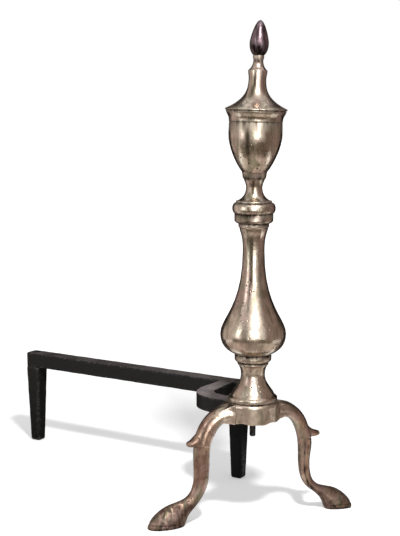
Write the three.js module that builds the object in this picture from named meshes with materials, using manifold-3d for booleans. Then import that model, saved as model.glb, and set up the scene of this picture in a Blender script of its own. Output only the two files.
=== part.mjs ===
// A brass andiron with an urn top, spurred cabriole legs and a wrought iron log bar.
//
// Units are millimetres, +Z is up. The brass front faces -Y and its two legs spread along X.
// The origin is the middle of the footprint, on the hearth.
//
// The brass pieces stand on each other round one iron tie rod. The rod screws into the finial bud
// at the top, and a nut under the eye of the log bar's arm pulls the whole column down onto the
// hub of the legs. The log bar stands on two iron legs of its own and swings about the rod.

import * as THREE from 'three';
import { mergeVertices } from 'three/addons/utils/BufferGeometryUtils.js';
import Module from 'manifold-3d';

const wasm = await Module();
wasm.setup();

// ---------------------------------------------------------------------------------------------
// Driving dimensions
// ---------------------------------------------------------------------------------------------

// Fits
const seatGap = 0.15; // between two faces that are clamped, brazed or riveted together
const runningGap = 0.2; // over and under the arm's eye, which turns
const shaftGap = 0.3; // all round a rod or tenon in its hole

// Facets
const turnedSides = 32;
const boreSides = 16;
const curveSteps = 5; // along each curved stretch of an outline

// The column's pieces, from the hub up: the height that each one takes
const archHeight = 124.5; // hearth to the top of the hub
const pedestalHeight = 40.5;
const pedestalRingHeight = 8.2;
const balusterHeight = 133.5;
const collarRingHeight = 9.6;
const collarTorusHeight = 11;
const stemHeight = 24.5;
const bowlHeight = 55.6;
const rimHeight = 11.1;
const lidHeight = 54.3;
const budHeight = 34;

// Above the collar the rod is bent, and the urn and its finial lean to the right with it
const leanReach = 5.8; // how far the bud's tip stands to the side

// Cored castings
const castWall = 3;
const webHeight = 4; // end wall that the tie rod passes through

// Pedestal: a bell on a low drum, with a bead round its head
const pedestalFootRadius = 25;
const pedestalDrumHeight = 6.3;
const pedestalLedgeRadius = 22.3;
const pedestalNeckRadius = 12.2;
const pedestalNeckAt = 27.5;
const pedestalBeadRadius = 15.8;
const pedestalBeadHeight = 3.2;

// Ring between the pedestal and the baluster
const pedestalRingRadius = 18.8;
const pedestalRingFootRadius = 16.2;

// Baluster
const balusterFootRadius = 18.4;
const bellyRadius = 33.4;
const bellyAt = 21.2;
const balusterNeckRadius = 11;
const balusterNeckBelowTop = 27.5;
const balusterFilletRadius = 15.5;
const balusterFilletHeight = 4.4;

// Collar: a ring with a hollow under it, and a torus on top
const collarRingRadius = 19.6;
const collarRingFootRadius = 16.6;
const collarRingBandHeight = 6;
const collarTorusRadius = 21.8;
const collarTorusSeatRadius = 18.9;

// Urn stem
const stemFootRadius = 18;
const stemFootHeight = 2;
const stemNeckRadius = 8.2;
const stemNeckAt = 15.5;
const stemTopRadius = 11.3;

// Urn bowl
const bowlFootRadius = 11.7;
const bowlFootHeight = 6.2;
const bowlFootTopRadius = 12.6;
const bowlRadius = 26.9;
const bowlShoulderAt = 44;
const bowlTopRadius = 26.6;

// Urn rim: a band that flares up to the lid
const rimFootRadius = 26.8;
const rimTopRadius = 30.2;

// Lid: an eave, a hollow-sided spire, a flange and a neck that carries the bud
const lidEaveRadius = 31;
const lidEaveHeight = 1.8;
const spireRadius = 8.7;
const spireAt = 32;
const lidFlangeRadius = 9.5;
const lidFlangeAt = 37.6;
const lidFlangeHeight = 1.9;
const lidNeckRadius = 4.9;
const lidNeckAt = 49.5;
const lidNeckRingRadius = 5.6;
const lidNeckRingHeight = 2.2;

// Finial bud
const budFootRadius = 5.5;
const budRadius = 9.5;
const budSwellAt = 11.7;
const budThreadDepth = 22;

// Hub: a round cap with a skirt at the front, open at the back for the arm
const hubRadius = 27;
const hubShoulderRadius = 3;
const hubHalfWidth = 24; // to the flats that carry the legs
const hubSkirtHeight = 19.5;
const hubPlate = 5;
const hubSkirtWall = 4;
const hubCheekWall = 6;
const hubBossRadius = 11;

// Cabriole legs: each is lofted between an outer and an inner edge
const leftRootHeight = 19; // the two castings were filed by hand and differ
const rightRootHeight = 17.5;
const legRootBelowHub = 1.7;
const legKneeReach = 62.5;
const legKneeAt = 90;
const leftLegThickness = 17;
const rightLegThickness = 12.6;
const legShankReach = 64.4;
const legAnkleReach = 67.5;
const legAnkleAt = 34.5;
const footReach = 114;
const leftHeel = 74.6;
const rightHeel = 83;
const footPadReach = 26; // from the heel to where the pad starts to close
const footHeight = 22;
const soleCut = 5; // how far the foot's underside is lofted below the hearth before it is cut
const legRootHalfDepth = 12; // meets the hub's flat edge to edge
const legKneeHalfDepth = 9.5;
const legShankHalfDepth = 6.6;
const legAnkleHalfDepth = 5.6;
const footHalfDepth = 10.5;
const legRidge = 0.9; // soft ridge down the middle of the front and the back
const leftSpurReach = 8.4; // past the knee
const rightSpurReach = 12;
const spurHalfDepth = 6;
const leftSpurDrop = 7.8; // from the knee down to the spur's underside, a level ledge
const rightSpurDrop = 9;
const rightShankSwell = 1.8; // how far the right shank stands out just below its spur
const legSides = 14;

// Tie rod, washer and nut
const rodRadius = 3.3;
const rodTail = 14; // shows below the nut
const rodChamfer = 0.6;
const rodBendSteps = 8; // straight pieces along its bent stretch
const washerRadius = 8;
const washerHeight = 1.2;
const nutAcrossFlats = 13;
const nutHeight = 4.5;

// Log bar, with its swan-neck arm
const barBelowArch = 11.7; // from the hub's top down to the bar's top
const barTop = archHeight - barBelowArch;
const barSide = 18;
const barChamfer = 1.2;
const barOffset = 108; // sideways from the column to the bar, with the bar square to the arch
const frontLegAt = 79.5; // behind the column, likewise
const logSpan = 293.3; // between the two iron legs
const armThickness = 16;
const armWidth = 20;
const armEndWidth = 16.5;
const armSide = 33; // the arm's rearward run, sideways from the column
const armBack = 90; // the arm's cross run, behind the column
const armBend = 32; // radius-like size of the bend between those two runs
const armSteps = 20;
const eyeRadius = 11.5;
const eyeThickness = 6; // the eye is hammered thinner than the arm
const eyeShoulder = 8; // length of the slope between the two

// Iron legs, tapered, with a round tenon riveted through the bar
const ironLegTopSide = 19.4; // a little wider than the bar
const ironLegFootSide = 13.6;
const ironLegFootChamfer = 1.5;
const tenonRadius = 4.5;

// The arm swings about the tie rod as far as the hub's cheeks let it
const armSwing = THREE.MathUtils.degToRad(42);
// As photographed, the bar stands this far round from square to the arch
const restSwing = THREE.MathUtils.degToRad(38.5);

// ---------------------------------------------------------------------------------------------
// Materials
// ---------------------------------------------------------------------------------------------

function metal(color, roughness) {
  return new THREE.MeshStandardMaterial({ color, roughness, metalness: 1 });
}

const columnBrass = metal(0xa3906f, 0.35);
const legBrass = metal(0x8f7558, 0.4);
const budBrass = metal(0x6d5a58, 0.35);
const wroughtIron = metal(0x1f1c1e, 0.6);

// ---------------------------------------------------------------------------------------------
// Shape tools
// ---------------------------------------------------------------------------------------------

// A closed mesh as a solid that can be joined and cut.
function solidOf(geometry) {
  const bare = geometry.clone();
  bare.deleteAttribute('normal');
  bare.deleteAttribute('uv');
  const merged = mergeVertices(bare, 1e-4);
  const mesh = new wasm.Mesh({
    numProp: 3,
    vertProperties: merged.attributes.position.array,
    triVerts: new Uint32Array(merged.index.array),
  });
  return new wasm.Manifold(mesh);
}

function geometryOf(solid) {
  const { vertProperties, triVerts } = solid.getMesh();
  const geometry = new THREE.BufferGeometry();
  geometry.setAttribute('position', new THREE.Float32BufferAttribute(vertProperties, 3));
  geometry.setIndex([...triVerts]);
  geometry.computeVertexNormals();
  return geometry;
}

// Carries an outline from its last point to the end point [radius, height]. The two slopes are
// given as shares of the stretch's own run and rise, so the curve keeps its shape when it grows.
function bend(outline, end, leaving, arriving) {
  const start = outline.currentPoint;
  const [endRadius, endHeight] = end;
  const run = endRadius - start.x;
  const rise = endHeight - start.y;
  outline.bezierCurveTo(
    start.x + leaving[0] * run,
    start.y + leaving[1] * rise,
    endRadius - arriving[0] * run,
    endHeight - arriving[1] * rise,
    endRadius,
    endHeight,
  );
}

const boreRadius = rodRadius + shaftGap;

// Revolves an outline, which runs from foot to head, about +Z round the tie rod's hole. A cored
// casting is hollow to its wall, and closed by a web at its foot, its head, both or neither.
function turned(outline, { cored = false, footWeb = 0, headWeb = 0 } = {}) {
  const outer = outline.getPoints(curveSteps);
  const foot = outer[0].y;
  const head = outer[outer.length - 1].y;
  const inner = [];
  if (cored) {
    const coreFoot = foot + footWeb;
    const coreHead = head - headWeb;
    const coreRadius = (point) => Math.max(boreRadius, point.x - castWall);
    const within = outer.filter((point) => point.y > coreFoot + 1 && point.y < coreHead - 1);
    const kept = within.filter((point, index) => index % 2 === 0);
    const nearest = (height) =>
      outer.reduce((a, b) => (Math.abs(b.y - height) < Math.abs(a.y - height) ? b : a));
    inner.push(new THREE.Vector2(coreRadius(nearest(coreFoot)), coreFoot));
    inner.push(...kept.map((point) => new THREE.Vector2(coreRadius(point), point.y)));
    inner.push(new THREE.Vector2(coreRadius(nearest(coreHead)), coreHead));
  }
  const footEdge = footWeb > 0 || !cored ? [new THREE.Vector2(boreRadius, foot)] : [];
  const headEdge = headWeb > 0 || !cored ? [new THREE.Vector2(boreRadius, head)] : [];
  if (footWeb > 0) footEdge.unshift(new THREE.Vector2(boreRadius, foot + footWeb));
  if (headWeb > 0) headEdge.push(new THREE.Vector2(boreRadius, head - headWeb));
  const section = [...outer, ...headEdge, ...inner.reverse(), ...footEdge];
  section.push(section[0].clone());
  return new THREE.LatheGeometry(section, turnedSides).rotateX(Math.PI / 2);
}

// A solid cylinder along +Z that stands on the given height.
function cylinder(radius, height, foot, sides) {
  const shape = new THREE.CylinderGeometry(radius, radius, height, sides);
  return shape.rotateX(Math.PI / 2).translate(0, 0, foot + height / 2);
}

// A flat outline in plan, raised from the given height.
function plate(shape, height, foot) {
  const options = { depth: height, bevelEnabled: false, curveSegments: boreSides };
  return new THREE.ExtrudeGeometry(shape, options).translate(0, 0, foot);
}

// A solid lofted through rings that all have as many points, closed by a fan at both ends.
function loft(rings) {
  const count = rings[0].length;
  const faces = [];
  for (let ring = 0; ring < rings.length - 1; ring += 1) {
    for (let side = 0; side < count; side += 1) {
      const a = ring * count + side;
      const b = ring * count + ((side + 1) % count);
      faces.push(a, b, b + count);
      faces.push(a, b + count, a + count);
    }
  }
  const last = (rings.length - 1) * count;
  for (let side = 1; side < count - 1; side += 1) {
    faces.push(0, side + 1, side);
    faces.push(last, last + side, last + side + 1);
  }
  const positions = rings.flat().flatMap((point) => [point.x, point.y, point.z]);
  const geometry = new THREE.BufferGeometry();
  geometry.setAttribute('position', new THREE.Float32BufferAttribute(positions, 3));
  geometry.setIndex(faces);
  geometry.computeVertexNormals();
  return geometry;
}

// ---------------------------------------------------------------------------------------------
// The turned brass pieces, each with its foot at height 0
// ---------------------------------------------------------------------------------------------

function pedestal() {
  const head = pedestalHeight - seatGap;
  const beadFoot = head - pedestalBeadHeight;
  const drumEase = 1;
  const outline = new THREE.Path();
  outline.moveTo(pedestalFootRadius - drumEase, 0);
  outline.lineTo(pedestalFootRadius, drumEase);
  outline.lineTo(pedestalFootRadius, pedestalDrumHeight - 2 * drumEase);
  outline.lineTo(pedestalLedgeRadius, pedestalDrumHeight);
  bend(outline, [pedestalNeckRadius, pedestalNeckAt], [0.29, 0.36], [0, 0.46]);
  bend(outline, [pedestalBeadRadius - drumEase, beadFoot], [0, 0.49], [0.3, 0.1]);
  outline.lineTo(pedestalBeadRadius, beadFoot + drumEase);
  outline.lineTo(pedestalBeadRadius, head - drumEase);
  outline.lineTo(pedestalBeadRadius - drumEase, head);
  return turned(outline, { cored: true, headWeb: webHeight });
}

function pedestalRing() {
  const head = pedestalRingHeight - seatGap;
  const outline = new THREE.Path();
  outline.moveTo(pedestalRingFootRadius, 0);
  bend(outline, [pedestalRingRadius, head / 2], [0.8, 0.3], [0, 0.5]);
  outline.lineTo(pedestalRingRadius, head);
  return turned(outline);
}

function baluster() {
  const head = balusterHeight - seatGap;
  const neckAt = head - balusterNeckBelowTop;
  const filletFoot = head - balusterFilletHeight;
  const outline = new THREE.Path();
  outline.moveTo(balusterFootRadius, 0);
  bend(outline, [bellyRadius, bellyAt], [0.71, 0.24], [0, 0.49]);
  bend(outline, [balusterNeckRadius, neckAt], [0, 0.18], [0, 0.68]);
  bend(outline, [balusterFilletRadius - 1, filletFoot], [0, 0.7], [0.2, 0.25]);
  outline.lineTo(balusterFilletRadius, filletFoot + 1);
  outline.lineTo(balusterFilletRadius, head);
  return turned(outline, { cored: true, footWeb: webHeight, headWeb: webHeight });
}

function collarRing() {
  const head = collarRingHeight - seatGap;
  const bandFoot = head - collarRingBandHeight;
  const outline = new THREE.Path();
  outline.moveTo(collarRingFootRadius, 0);
  bend(outline, [collarRingRadius, bandFoot], [0.7, 0.2], [0, 0.4]);
  outline.lineTo(collarRingRadius, head);
  return turned(outline);
}

function collarTorus() {
  const head = collarTorusHeight - seatGap;
  const outline = new THREE.Path();
  outline.moveTo(collarTorusSeatRadius, 0);
  bend(outline, [collarTorusRadius, head / 2], [0.6, 0.05], [0, 0.5]);
  bend(outline, [collarTorusSeatRadius, head], [0, 0.5], [0.6, 0.05]);
  return turned(outline);
}

function urnStem() {
  const head = stemHeight - seatGap;
  const footEase = 1.6;
  const outline = new THREE.Path();
  outline.moveTo(stemFootRadius, 0);
  outline.lineTo(stemFootRadius, stemFootHeight);
  outline.lineTo(stemFootRadius - footEase, stemFootHeight);
  bend(outline, [stemNeckRadius, stemNeckAt], [0.63, 0.2], [0, 0.48]);
  bend(outline, [stemTopRadius, head], [0, 0.21], [0.48, 0.24]);
  return turned(outline);
}

function urnBowl() {
  const head = bowlHeight - seatGap;
  const outline = new THREE.Path();
  outline.moveTo(bowlFootRadius, 0);
  outline.lineTo(bowlFootTopRadius, bowlFootHeight);
  bend(outline, [bowlRadius, bowlShoulderAt], [0.12, 0.04], [0, 0.47]);
  outline.lineTo(bowlTopRadius, head);
  return turned(outline, { cored: true, footWeb: bowlFootHeight + webHeight });
}

function urnRim() {
  const head = rimHeight - seatGap;
  const outline = new THREE.Path();
  outline.moveTo(rimFootRadius, 0);
  bend(outline, [rimTopRadius, head], [0, 0.6], [0.36, 0.45]);
  return turned(outline, { cored: true });
}

function urnLid() {
  const head = lidHeight - seatGap;
  const neckRingFoot = head - lidNeckRingHeight;
  const outline = new THREE.Path();
  outline.moveTo(rimTopRadius, 0);
  outline.lineTo(lidEaveRadius, lidEaveHeight / 2);
  outline.lineTo(lidEaveRadius, lidEaveHeight);
  bend(outline, [spireRadius, spireAt], [0.92, 0.31], [0, 0.38]);
  outline.lineTo(lidFlangeRadius, lidFlangeAt);
  outline.lineTo(lidFlangeRadius, lidFlangeAt + lidFlangeHeight);
  bend(outline, [lidNeckRadius, lidNeckAt], [0.5, 0.16], [0, 0.48]);
  outline.lineTo(lidNeckRingRadius, neckRingFoot);
  outline.lineTo(lidNeckRingRadius, head);
  return turned(outline, { cored: true, headWeb: head - spireAt + webHeight });
}

// The bud's hole stops short of its tip, so its section closes on the axis.
function finialBud() {
  const outline = new THREE.Path();
  outline.moveTo(0, budThreadDepth);
  outline.lineTo(boreRadius, budThreadDepth);
  outline.lineTo(boreRadius, 0);
  outline.lineTo(budFootRadius, 0);
  bend(outline, [budRadius, budSwellAt], [0.9, 0.28], [0, 0.3]);
  bend(outline, [0, budHeight], [0, 0.16], [0.62, 0]);
  const section = outline.getPoints(curveSteps);
  return new THREE.LatheGeometry(section, turnedSides).rotateX(Math.PI / 2);
}

// The column's pieces from the hub up, with the height that each one takes.
const column = [
  ['pedestal', pedestal(), pedestalHeight],
  ['pedestal_ring', pedestalRing(), pedestalRingHeight],
  ['baluster', baluster(), balusterHeight],
  ['collar_ring', collarRing(), collarRingHeight],
  ['collar_torus', collarTorus(), collarTorusHeight],
  ['urn_stem', urnStem(), stemHeight],
  ['urn_bowl', urnBowl(), bowlHeight],
  ['urn_rim', urnRim(), rimHeight],
  ['urn_lid', urnLid(), lidHeight],
];
const columnTop = column.reduce((height, piece) => height + piece[2], archHeight);
const leanFoot = archHeight + pedestalHeight + pedestalRingHeight + balusterHeight;

// Bends a piece with the rod. Its points move sideways by the square of their height above the
// collar's foot, and tip over by the slope there. The foot is the piece's own height 0.
function leaning(geometry, foot) {
  const leanHeight = columnTop + budHeight - leanFoot;
  const points = geometry.attributes.position;
  for (let index = 0; index < points.count; index += 1) {
    const share = Math.max(0, points.getZ(index) + foot - leanFoot) / leanHeight;
    const slope = (2 * leanReach * share) / leanHeight;
    const tipped = points.getZ(index) - slope * points.getX(index);
    points.setX(index, points.getX(index) + leanReach * share ** 2);
    points.setZ(index, tipped);
  }
  geometry.computeVertexNormals();
  return geometry;
}

// ---------------------------------------------------------------------------------------------
// The legs and their hub, with the hearth at height 0
// ---------------------------------------------------------------------------------------------

function legHub() {
  const skirtFoot = archHeight - hubSkirtHeight;
  const cavityHeight = hubSkirtHeight - hubPlate;
  const below = 1; // how far the cutters reach past what they cut
  const cap = new THREE.Path();
  cap.moveTo(0, skirtFoot);
  cap.lineTo(hubRadius, skirtFoot);
  cap.lineTo(hubRadius, archHeight - hubShoulderRadius);
  cap.absarc(
    hubRadius - hubShoulderRadius,
    archHeight - hubShoulderRadius,
    hubShoulderRadius,
    0,
    Math.PI / 2,
  );
  cap.lineTo(0, archHeight);
  const roundCap = new THREE.LatheGeometry(cap.getPoints(2), turnedSides).rotateX(Math.PI / 2);

  // The skirt is thin at the front and thick in the cheeks that carry the legs.
  const inside = new THREE.Shape();
  const cheekInside = hubHalfWidth - hubCheekWall;
  inside.absellipse(0, 0, cheekInside, hubRadius - hubSkirtWall, 0, 2 * Math.PI);

  // At the back the cavity opens as a fan, just as wide as the arm sweeps.
  const fan = new THREE.Shape();
  const armEdge = armWidth / 2 + shaftGap;
  const fanLength = 2 * hubRadius;
  const near = new THREE.Vector2(armEdge, 0).rotateAround(new THREE.Vector2(), -armSwing);
  const far = new THREE.Vector2(armEdge, fanLength).rotateAround(new THREE.Vector2(), -armSwing);
  fan.moveTo(near.x, near.y);
  fan.lineTo(far.x, far.y);
  fan.lineTo(-far.x, far.y);
  fan.lineTo(-near.x, near.y);

  const flats = new THREE.BoxGeometry(2 * hubHalfWidth, 4 * hubRadius, 4 * archHeight);
  const bossFoot = barTop + runningGap;
  const boss = cylinder(hubBossRadius, archHeight - hubPlate / 2 - bossFoot, bossFoot, turnedSides);
  const bore = cylinder(boreRadius, archHeight, below, boreSides);
  const above = cylinder(boreRadius, archHeight, archHeight / 2, boreSides);
  const hub = solidOf(roundCap)
    .intersect(solidOf(flats))
    .subtract(solidOf(plate(inside, cavityHeight + below, skirtFoot - below)))
    .subtract(solidOf(plate(fan, cavityHeight + below, skirtFoot - below)))
    .add(solidOf(boss))
    .subtract(solidOf(bore))
    .subtract(solidOf(above));
  return geometryOf(hub);
}

// One ring of a leg's section. The chord runs between the outer and the inner edge in the XZ
// plane, and the section bulges to half its depth on both sides of that plane.
function legRing(outer, inner, halfDepth, ridge) {
  const middle = new THREE.Vector3().addVectors(outer, inner).multiplyScalar(0.5);
  const half = new THREE.Vector3().subVectors(outer, inner).multiplyScalar(0.5);
  return Array.from({ length: legSides }, (_, index) => {
    const angle = (2 * Math.PI * index) / legSides;
    const across = Math.cos(angle);
    const deep = Math.sin(angle);
    const depth = halfDepth * deep + ridge * Math.sign(deep) * Math.abs(deep) ** 8;
    return new THREE.Vector3(middle.x + half.x * across, -depth, middle.z + half.z * across);
  });
}

// Lofts a bar between two edges that are given station by station as [x, z], with its half depth
// at each station.
function loftBetween(stations, steps, ridge) {
  const curveOf = (index) =>
    new THREE.CatmullRomCurve3(
      stations.map((station) => new THREE.Vector3(station[index][0], 0, station[index][1])),
      false,
      'centripetal',
    );
  const depths = new THREE.SplineCurve(
    stations.map((station, index) => new THREE.Vector2(index, station[2])),
  );
  const outer = curveOf(0);
  const inner = curveOf(1);
  const rings = Array.from({ length: steps + 1 }, (_, index) => {
    const share = index / steps;
    const halfDepth = depths.getPoint(share).y;
    return legRing(outer.getPoint(share), inner.getPoint(share), halfDepth, ridge);
  });
  return loft(rings);
}

// A leg that points along +X: it leaves the hub's flat, turns down at the knee, and runs out into
// a pad foot.
function cabrioleLeg({ rootHeight, thickness, swell, spurReach, spurDrop, heel }) {
  const root = hubHalfWidth + seatGap;
  const rootTop = archHeight - legRootBelowHub;
  const rootFoot = rootTop - rootHeight;
  const shankInner = legShankReach - thickness;
  const stations = [
    [[root, rootTop], [root, rootFoot], legRootHalfDepth],
    [[38, rootTop - 2.4], [32, rootFoot - 0.2], legKneeHalfDepth + 0.6],
    [[50, rootTop - 10.4], [shankInner - 10.4, rootFoot - 4.2], legKneeHalfDepth - 0.5],
    [[58, rootTop - 20.6], [shankInner - 5.2, rootFoot - 12.4], legKneeHalfDepth - 1],
    [[legKneeReach, legKneeAt], [shankInner - 1.8, legKneeAt - 7], legKneeHalfDepth - 1.6],
    [[legShankReach + swell, 75], [shankInner - 0.4, 72], legShankHalfDepth + 0.4],
    [[legShankReach - 0.3, 58], [shankInner, 55.5], legShankHalfDepth],
    [[legShankReach, 45], [shankInner + 1.8, 40.5], legShankHalfDepth - 0.4],
    [[legAnkleReach, legAnkleAt], [shankInner + 7.4, legAnkleAt - 6], legAnkleHalfDepth],
    [[73.5, 28.2], [heel - 13.2, 19.8], legAnkleHalfDepth],
    [[82.5, footHeight + 3], [heel - 4.6, 10.5], legAnkleHalfDepth + 1.6],
    [[93, footHeight], [heel + 1.5, -soleCut / 2], footHalfDepth - 1.2],
    [[102, footHeight - 5.4], [heel + footPadReach / 2, -soleCut], footHalfDepth],
    [[109.3, footHeight - 12.6], [heel + footPadReach, -soleCut], footHalfDepth - 2],
    [[footReach, 1.6], [footReach - 4, -soleCut], footHalfDepth - 7],
  ];
  const spurRoot = legKneeReach + 0.8;
  const spurMiddle = legKneeReach + 0.55 * spurReach;
  const spurTip = legKneeReach + spurReach;
  const ledge = legKneeAt - spurDrop;
  const spur = [
    [[56, legKneeAt + 11], [53, ledge - 1], spurHalfDepth],
    [[spurRoot, ledge + 9.6], [spurRoot, ledge - 0.4], spurHalfDepth - 1],
    [[spurMiddle, ledge + 5.6], [spurMiddle, ledge], spurHalfDepth - 2],
    [[spurTip, ledge + 4], [spurTip, ledge + 0.8], spurHalfDepth - 3.6],
  ];
  const hearth = new THREE.BoxGeometry(4 * footReach, 4 * footReach, 4 * soleCut);
  hearth.translate(0, 0, -2 * soleCut);
  const leg = solidOf(loftBetween(stations, 2 * (stations.length - 1), legRidge))
    .add(solidOf(loftBetween(spur, 6, 0)))
    .subtract(solidOf(hearth));
  return geometryOf(leg);
}

// ---------------------------------------------------------------------------------------------
// Tie rod, washer and nut
// ---------------------------------------------------------------------------------------------

const eyeFoot = barTop - eyeThickness;
const washerFoot = eyeFoot - runningGap - washerHeight;
const nutFoot = washerFoot - seatGap - nutHeight;
const rodFoot = nutFoot - rodTail;

function tieRod() {
  const head = columnTop + budThreadDepth - 1;
  const outline = new THREE.Path();
  outline.moveTo(0, rodFoot);
  outline.lineTo(rodRadius - rodChamfer, rodFoot);
  outline.lineTo(rodRadius, rodFoot + rodChamfer);
  for (let step = 0; step < rodBendSteps; step += 1) {
    const share = step / rodBendSteps;
    outline.lineTo(rodRadius, THREE.MathUtils.lerp(leanFoot, head, share));
  }
  outline.lineTo(rodRadius, head - rodChamfer);
  outline.lineTo(rodRadius - rodChamfer, head);
  outline.lineTo(0, head);
  return new THREE.LatheGeometry(outline.getPoints(), boreSides).rotateX(Math.PI / 2);
}

// A plan outline with the rod's hole through it.
function drilled(shape) {
  const hole = new THREE.Path();
  hole.absarc(0, 0, boreRadius, 0, 2 * Math.PI);
  shape.holes.push(hole);
  return shape;
}

function washer() {
  const disc = new THREE.Shape();
  disc.absarc(0, 0, washerRadius, 0, 2 * Math.PI);
  return plate(drilled(disc), washerHeight, washerFoot);
}

function clampNut() {
  const half = nutAcrossFlats / 2;
  const square = new THREE.Shape();
  square.moveTo(-half, -half);
  square.lineTo(half, -half);
  square.lineTo(half, half);
  square.lineTo(-half, half);
  return plate(drilled(square), nutHeight, nutFoot);
}

// ---------------------------------------------------------------------------------------------
// Log bar and its legs, drawn with the bar square to the arch, along +Y
// ---------------------------------------------------------------------------------------------

const rearLegAt = frontLegAt + logSpan;
const ironLegTop = barTop - barSide - seatGap;

// Outline of a square bar with its four long edges eased.
function easedSquare(side, ease) {
  const half = side / 2;
  const flat = half - ease;
  return [
    [flat, -half],
    [half, -flat],
    [half, flat],
    [flat, half],
    [-flat, half],
    [-half, flat],
    [-half, -flat],
    [-flat, -half],
  ];
}

// The arm in plan: a ribbon along a path that leaves the eye at a slant, runs back, and turns
// across to the front end of the bar.
function armShape() {
  const slant = new THREE.Vector2(armSide * 0.6, armSide * 0.74);
  const rearwardFrom = armBack - armBend - 2;
  const path = new THREE.Path();
  path.moveTo(0, 0);
  path.lineTo(slant.x, slant.y);
  path.quadraticCurveTo(armSide, armSide * 1.24, armSide, rearwardFrom);
  path.quadraticCurveTo(armSide, armBack, armSide + armBend, armBack);
  path.lineTo(barOffset, armBack);
  const left = [];
  const right = [];
  for (let step = 0; step <= armSteps; step += 1) {
    const share = step / armSteps;
    const narrowing = THREE.MathUtils.smoothstep(share, 0.6, 1);
    const half = THREE.MathUtils.lerp(armWidth, armEndWidth, narrowing) / 2;
    const middle = path.getPointAt(share);
    const along = path.getTangentAt(share);
    left.push(new THREE.Vector2(middle.x - along.y * half, middle.y + along.x * half));
    right.push(new THREE.Vector2(middle.x + along.y * half, middle.y - along.x * half));
  }
  return new THREE.Shape([...right, ...left.reverse()]);
}

function logBar() {
  const barFront = frontLegAt - barSide / 2;
  const barLength = logSpan + barSide;
  const past = 1; // how far the cutters reach past what they cut
  const corners = easedSquare(barSide, barChamfer).map(([x, z]) => new THREE.Vector2(x, z));
  const section = new THREE.Shape(corners);
  const bar = new THREE.ExtrudeGeometry(section, { depth: barLength, bevelEnabled: false });
  bar.rotateX(-Math.PI / 2);
  bar.translate(barOffset, barFront, barTop - barSide / 2);

  const armFoot = barTop - armThickness;
  const eye = cylinder(eyeRadius, armThickness, armFoot, turnedSides);
  const arm = plate(armShape(), armThickness, armFoot);

  // Hammering the eye thin leaves a round hollow under it, with a slope up its side.
  const thinning = new THREE.Path();
  thinning.moveTo(0, armFoot - past);
  thinning.lineTo(eyeRadius + eyeShoulder + past, armFoot - past);
  thinning.lineTo(eyeRadius + eyeShoulder, armFoot);
  thinning.lineTo(eyeRadius, eyeFoot);
  thinning.lineTo(0, eyeFoot);
  const hollow = new THREE.LatheGeometry(thinning.getPoints(), turnedSides).rotateX(Math.PI / 2);

  let forging = solidOf(bar)
    .add(solidOf(arm))
    .add(solidOf(eye))
    .subtract(solidOf(hollow))
    .subtract(solidOf(cylinder(boreRadius, armThickness + 2 * past, armFoot - past, boreSides)));
  for (const legAt of [frontLegAt, rearLegAt]) {
    const holeFoot = barTop - barSide - past;
    const hole = cylinder(tenonRadius + shaftGap, barSide + 2 * past, holeFoot, boreSides);
    forging = forging.subtract(solidOf(hole.translate(barOffset, legAt, 0)));
  }
  return geometryOf(forging);
}

function ironLeg(legAt) {
  const ringAt = (side, height) =>
    easedSquare(side, barChamfer).map(([x, y]) => new THREE.Vector3(x, y, height));
  const shaft = loft([
    ringAt(ironLegFootSide - 2 * ironLegFootChamfer, 0),
    ringAt(ironLegFootSide, ironLegFootChamfer),
    ringAt(ironLegTopSide, ironLegTop),
  ]);
  const sunk = 2; // how far the tenon's root is carried down into the shaft
  const tenonFoot = ironLegTop - sunk;
  const tenon = cylinder(tenonRadius, barTop - tenonFoot, tenonFoot, boreSides);
  const leg = solidOf(shaft).add(solidOf(tenon));
  return geometryOf(leg).translate(barOffset, legAt, 0);
}

// ---------------------------------------------------------------------------------------------
// Assembly
// ---------------------------------------------------------------------------------------------

function addPiece(group, name, geometry, material) {
  const piece = new THREE.Mesh(geometry, material.clone());
  piece.name = name;
  group.add(piece);
  return piece;
}

const andiron = new THREE.Group();

addPiece(andiron, 'leg_hub', legHub(), legBrass);
const rightLeg = cabrioleLeg({
  rootHeight: rightRootHeight,
  thickness: rightLegThickness,
  swell: rightShankSwell,
  spurReach: rightSpurReach,
  spurDrop: rightSpurDrop,
  heel: rightHeel,
});
const leftLeg = cabrioleLeg({
  rootHeight: leftRootHeight,
  thickness: leftLegThickness,
  swell: 0,
  spurReach: leftSpurReach,
  spurDrop: leftSpurDrop,
  heel: leftHeel,
});
addPiece(andiron, 'right_leg', rightLeg, legBrass);
addPiece(andiron, 'left_leg', leftLeg, legBrass).rotation.z = Math.PI;

let seat = archHeight;
for (const [name, geometry, height] of column) {
  // Each piece stands a seat's gap above the last one, whose own height is that much less.
  addPiece(andiron, name, leaning(geometry, seat), columnBrass).position.z = seat;
  seat += height;
}
addPiece(andiron, 'finial_bud', leaning(finialBud(), seat), budBrass).position.z = seat;

addPiece(andiron, 'tie_rod', leaning(tieRod(), 0), wroughtIron);
addPiece(andiron, 'washer', washer(), wroughtIron);
addPiece(andiron, 'clamp_nut', clampNut(), wroughtIron);

const swingingBar = new THREE.Group();
addPiece(swingingBar, 'log_bar', logBar(), wroughtIron);
addPiece(swingingBar, 'front_bar_leg', ironLeg(frontLegAt), wroughtIron);
addPiece(swingingBar, 'rear_bar_leg', ironLeg(rearLegAt), wroughtIron);
swingingBar.rotation.z = restSwing;
andiron.add(swingingBar);

// Put the origin in the middle of the footprint.
andiron.updateMatrixWorld(true);
const footprint = new THREE.Box3().setFromObject(andiron, true);
const middle = footprint.getCenter(new THREE.Vector3());
andiron.position.set(-middle.x, -middle.y, 0);

export default andiron;
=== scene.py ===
"""Models a brass andiron with an urn top, spurred cabriole legs and a wrought iron log bar."""

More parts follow.
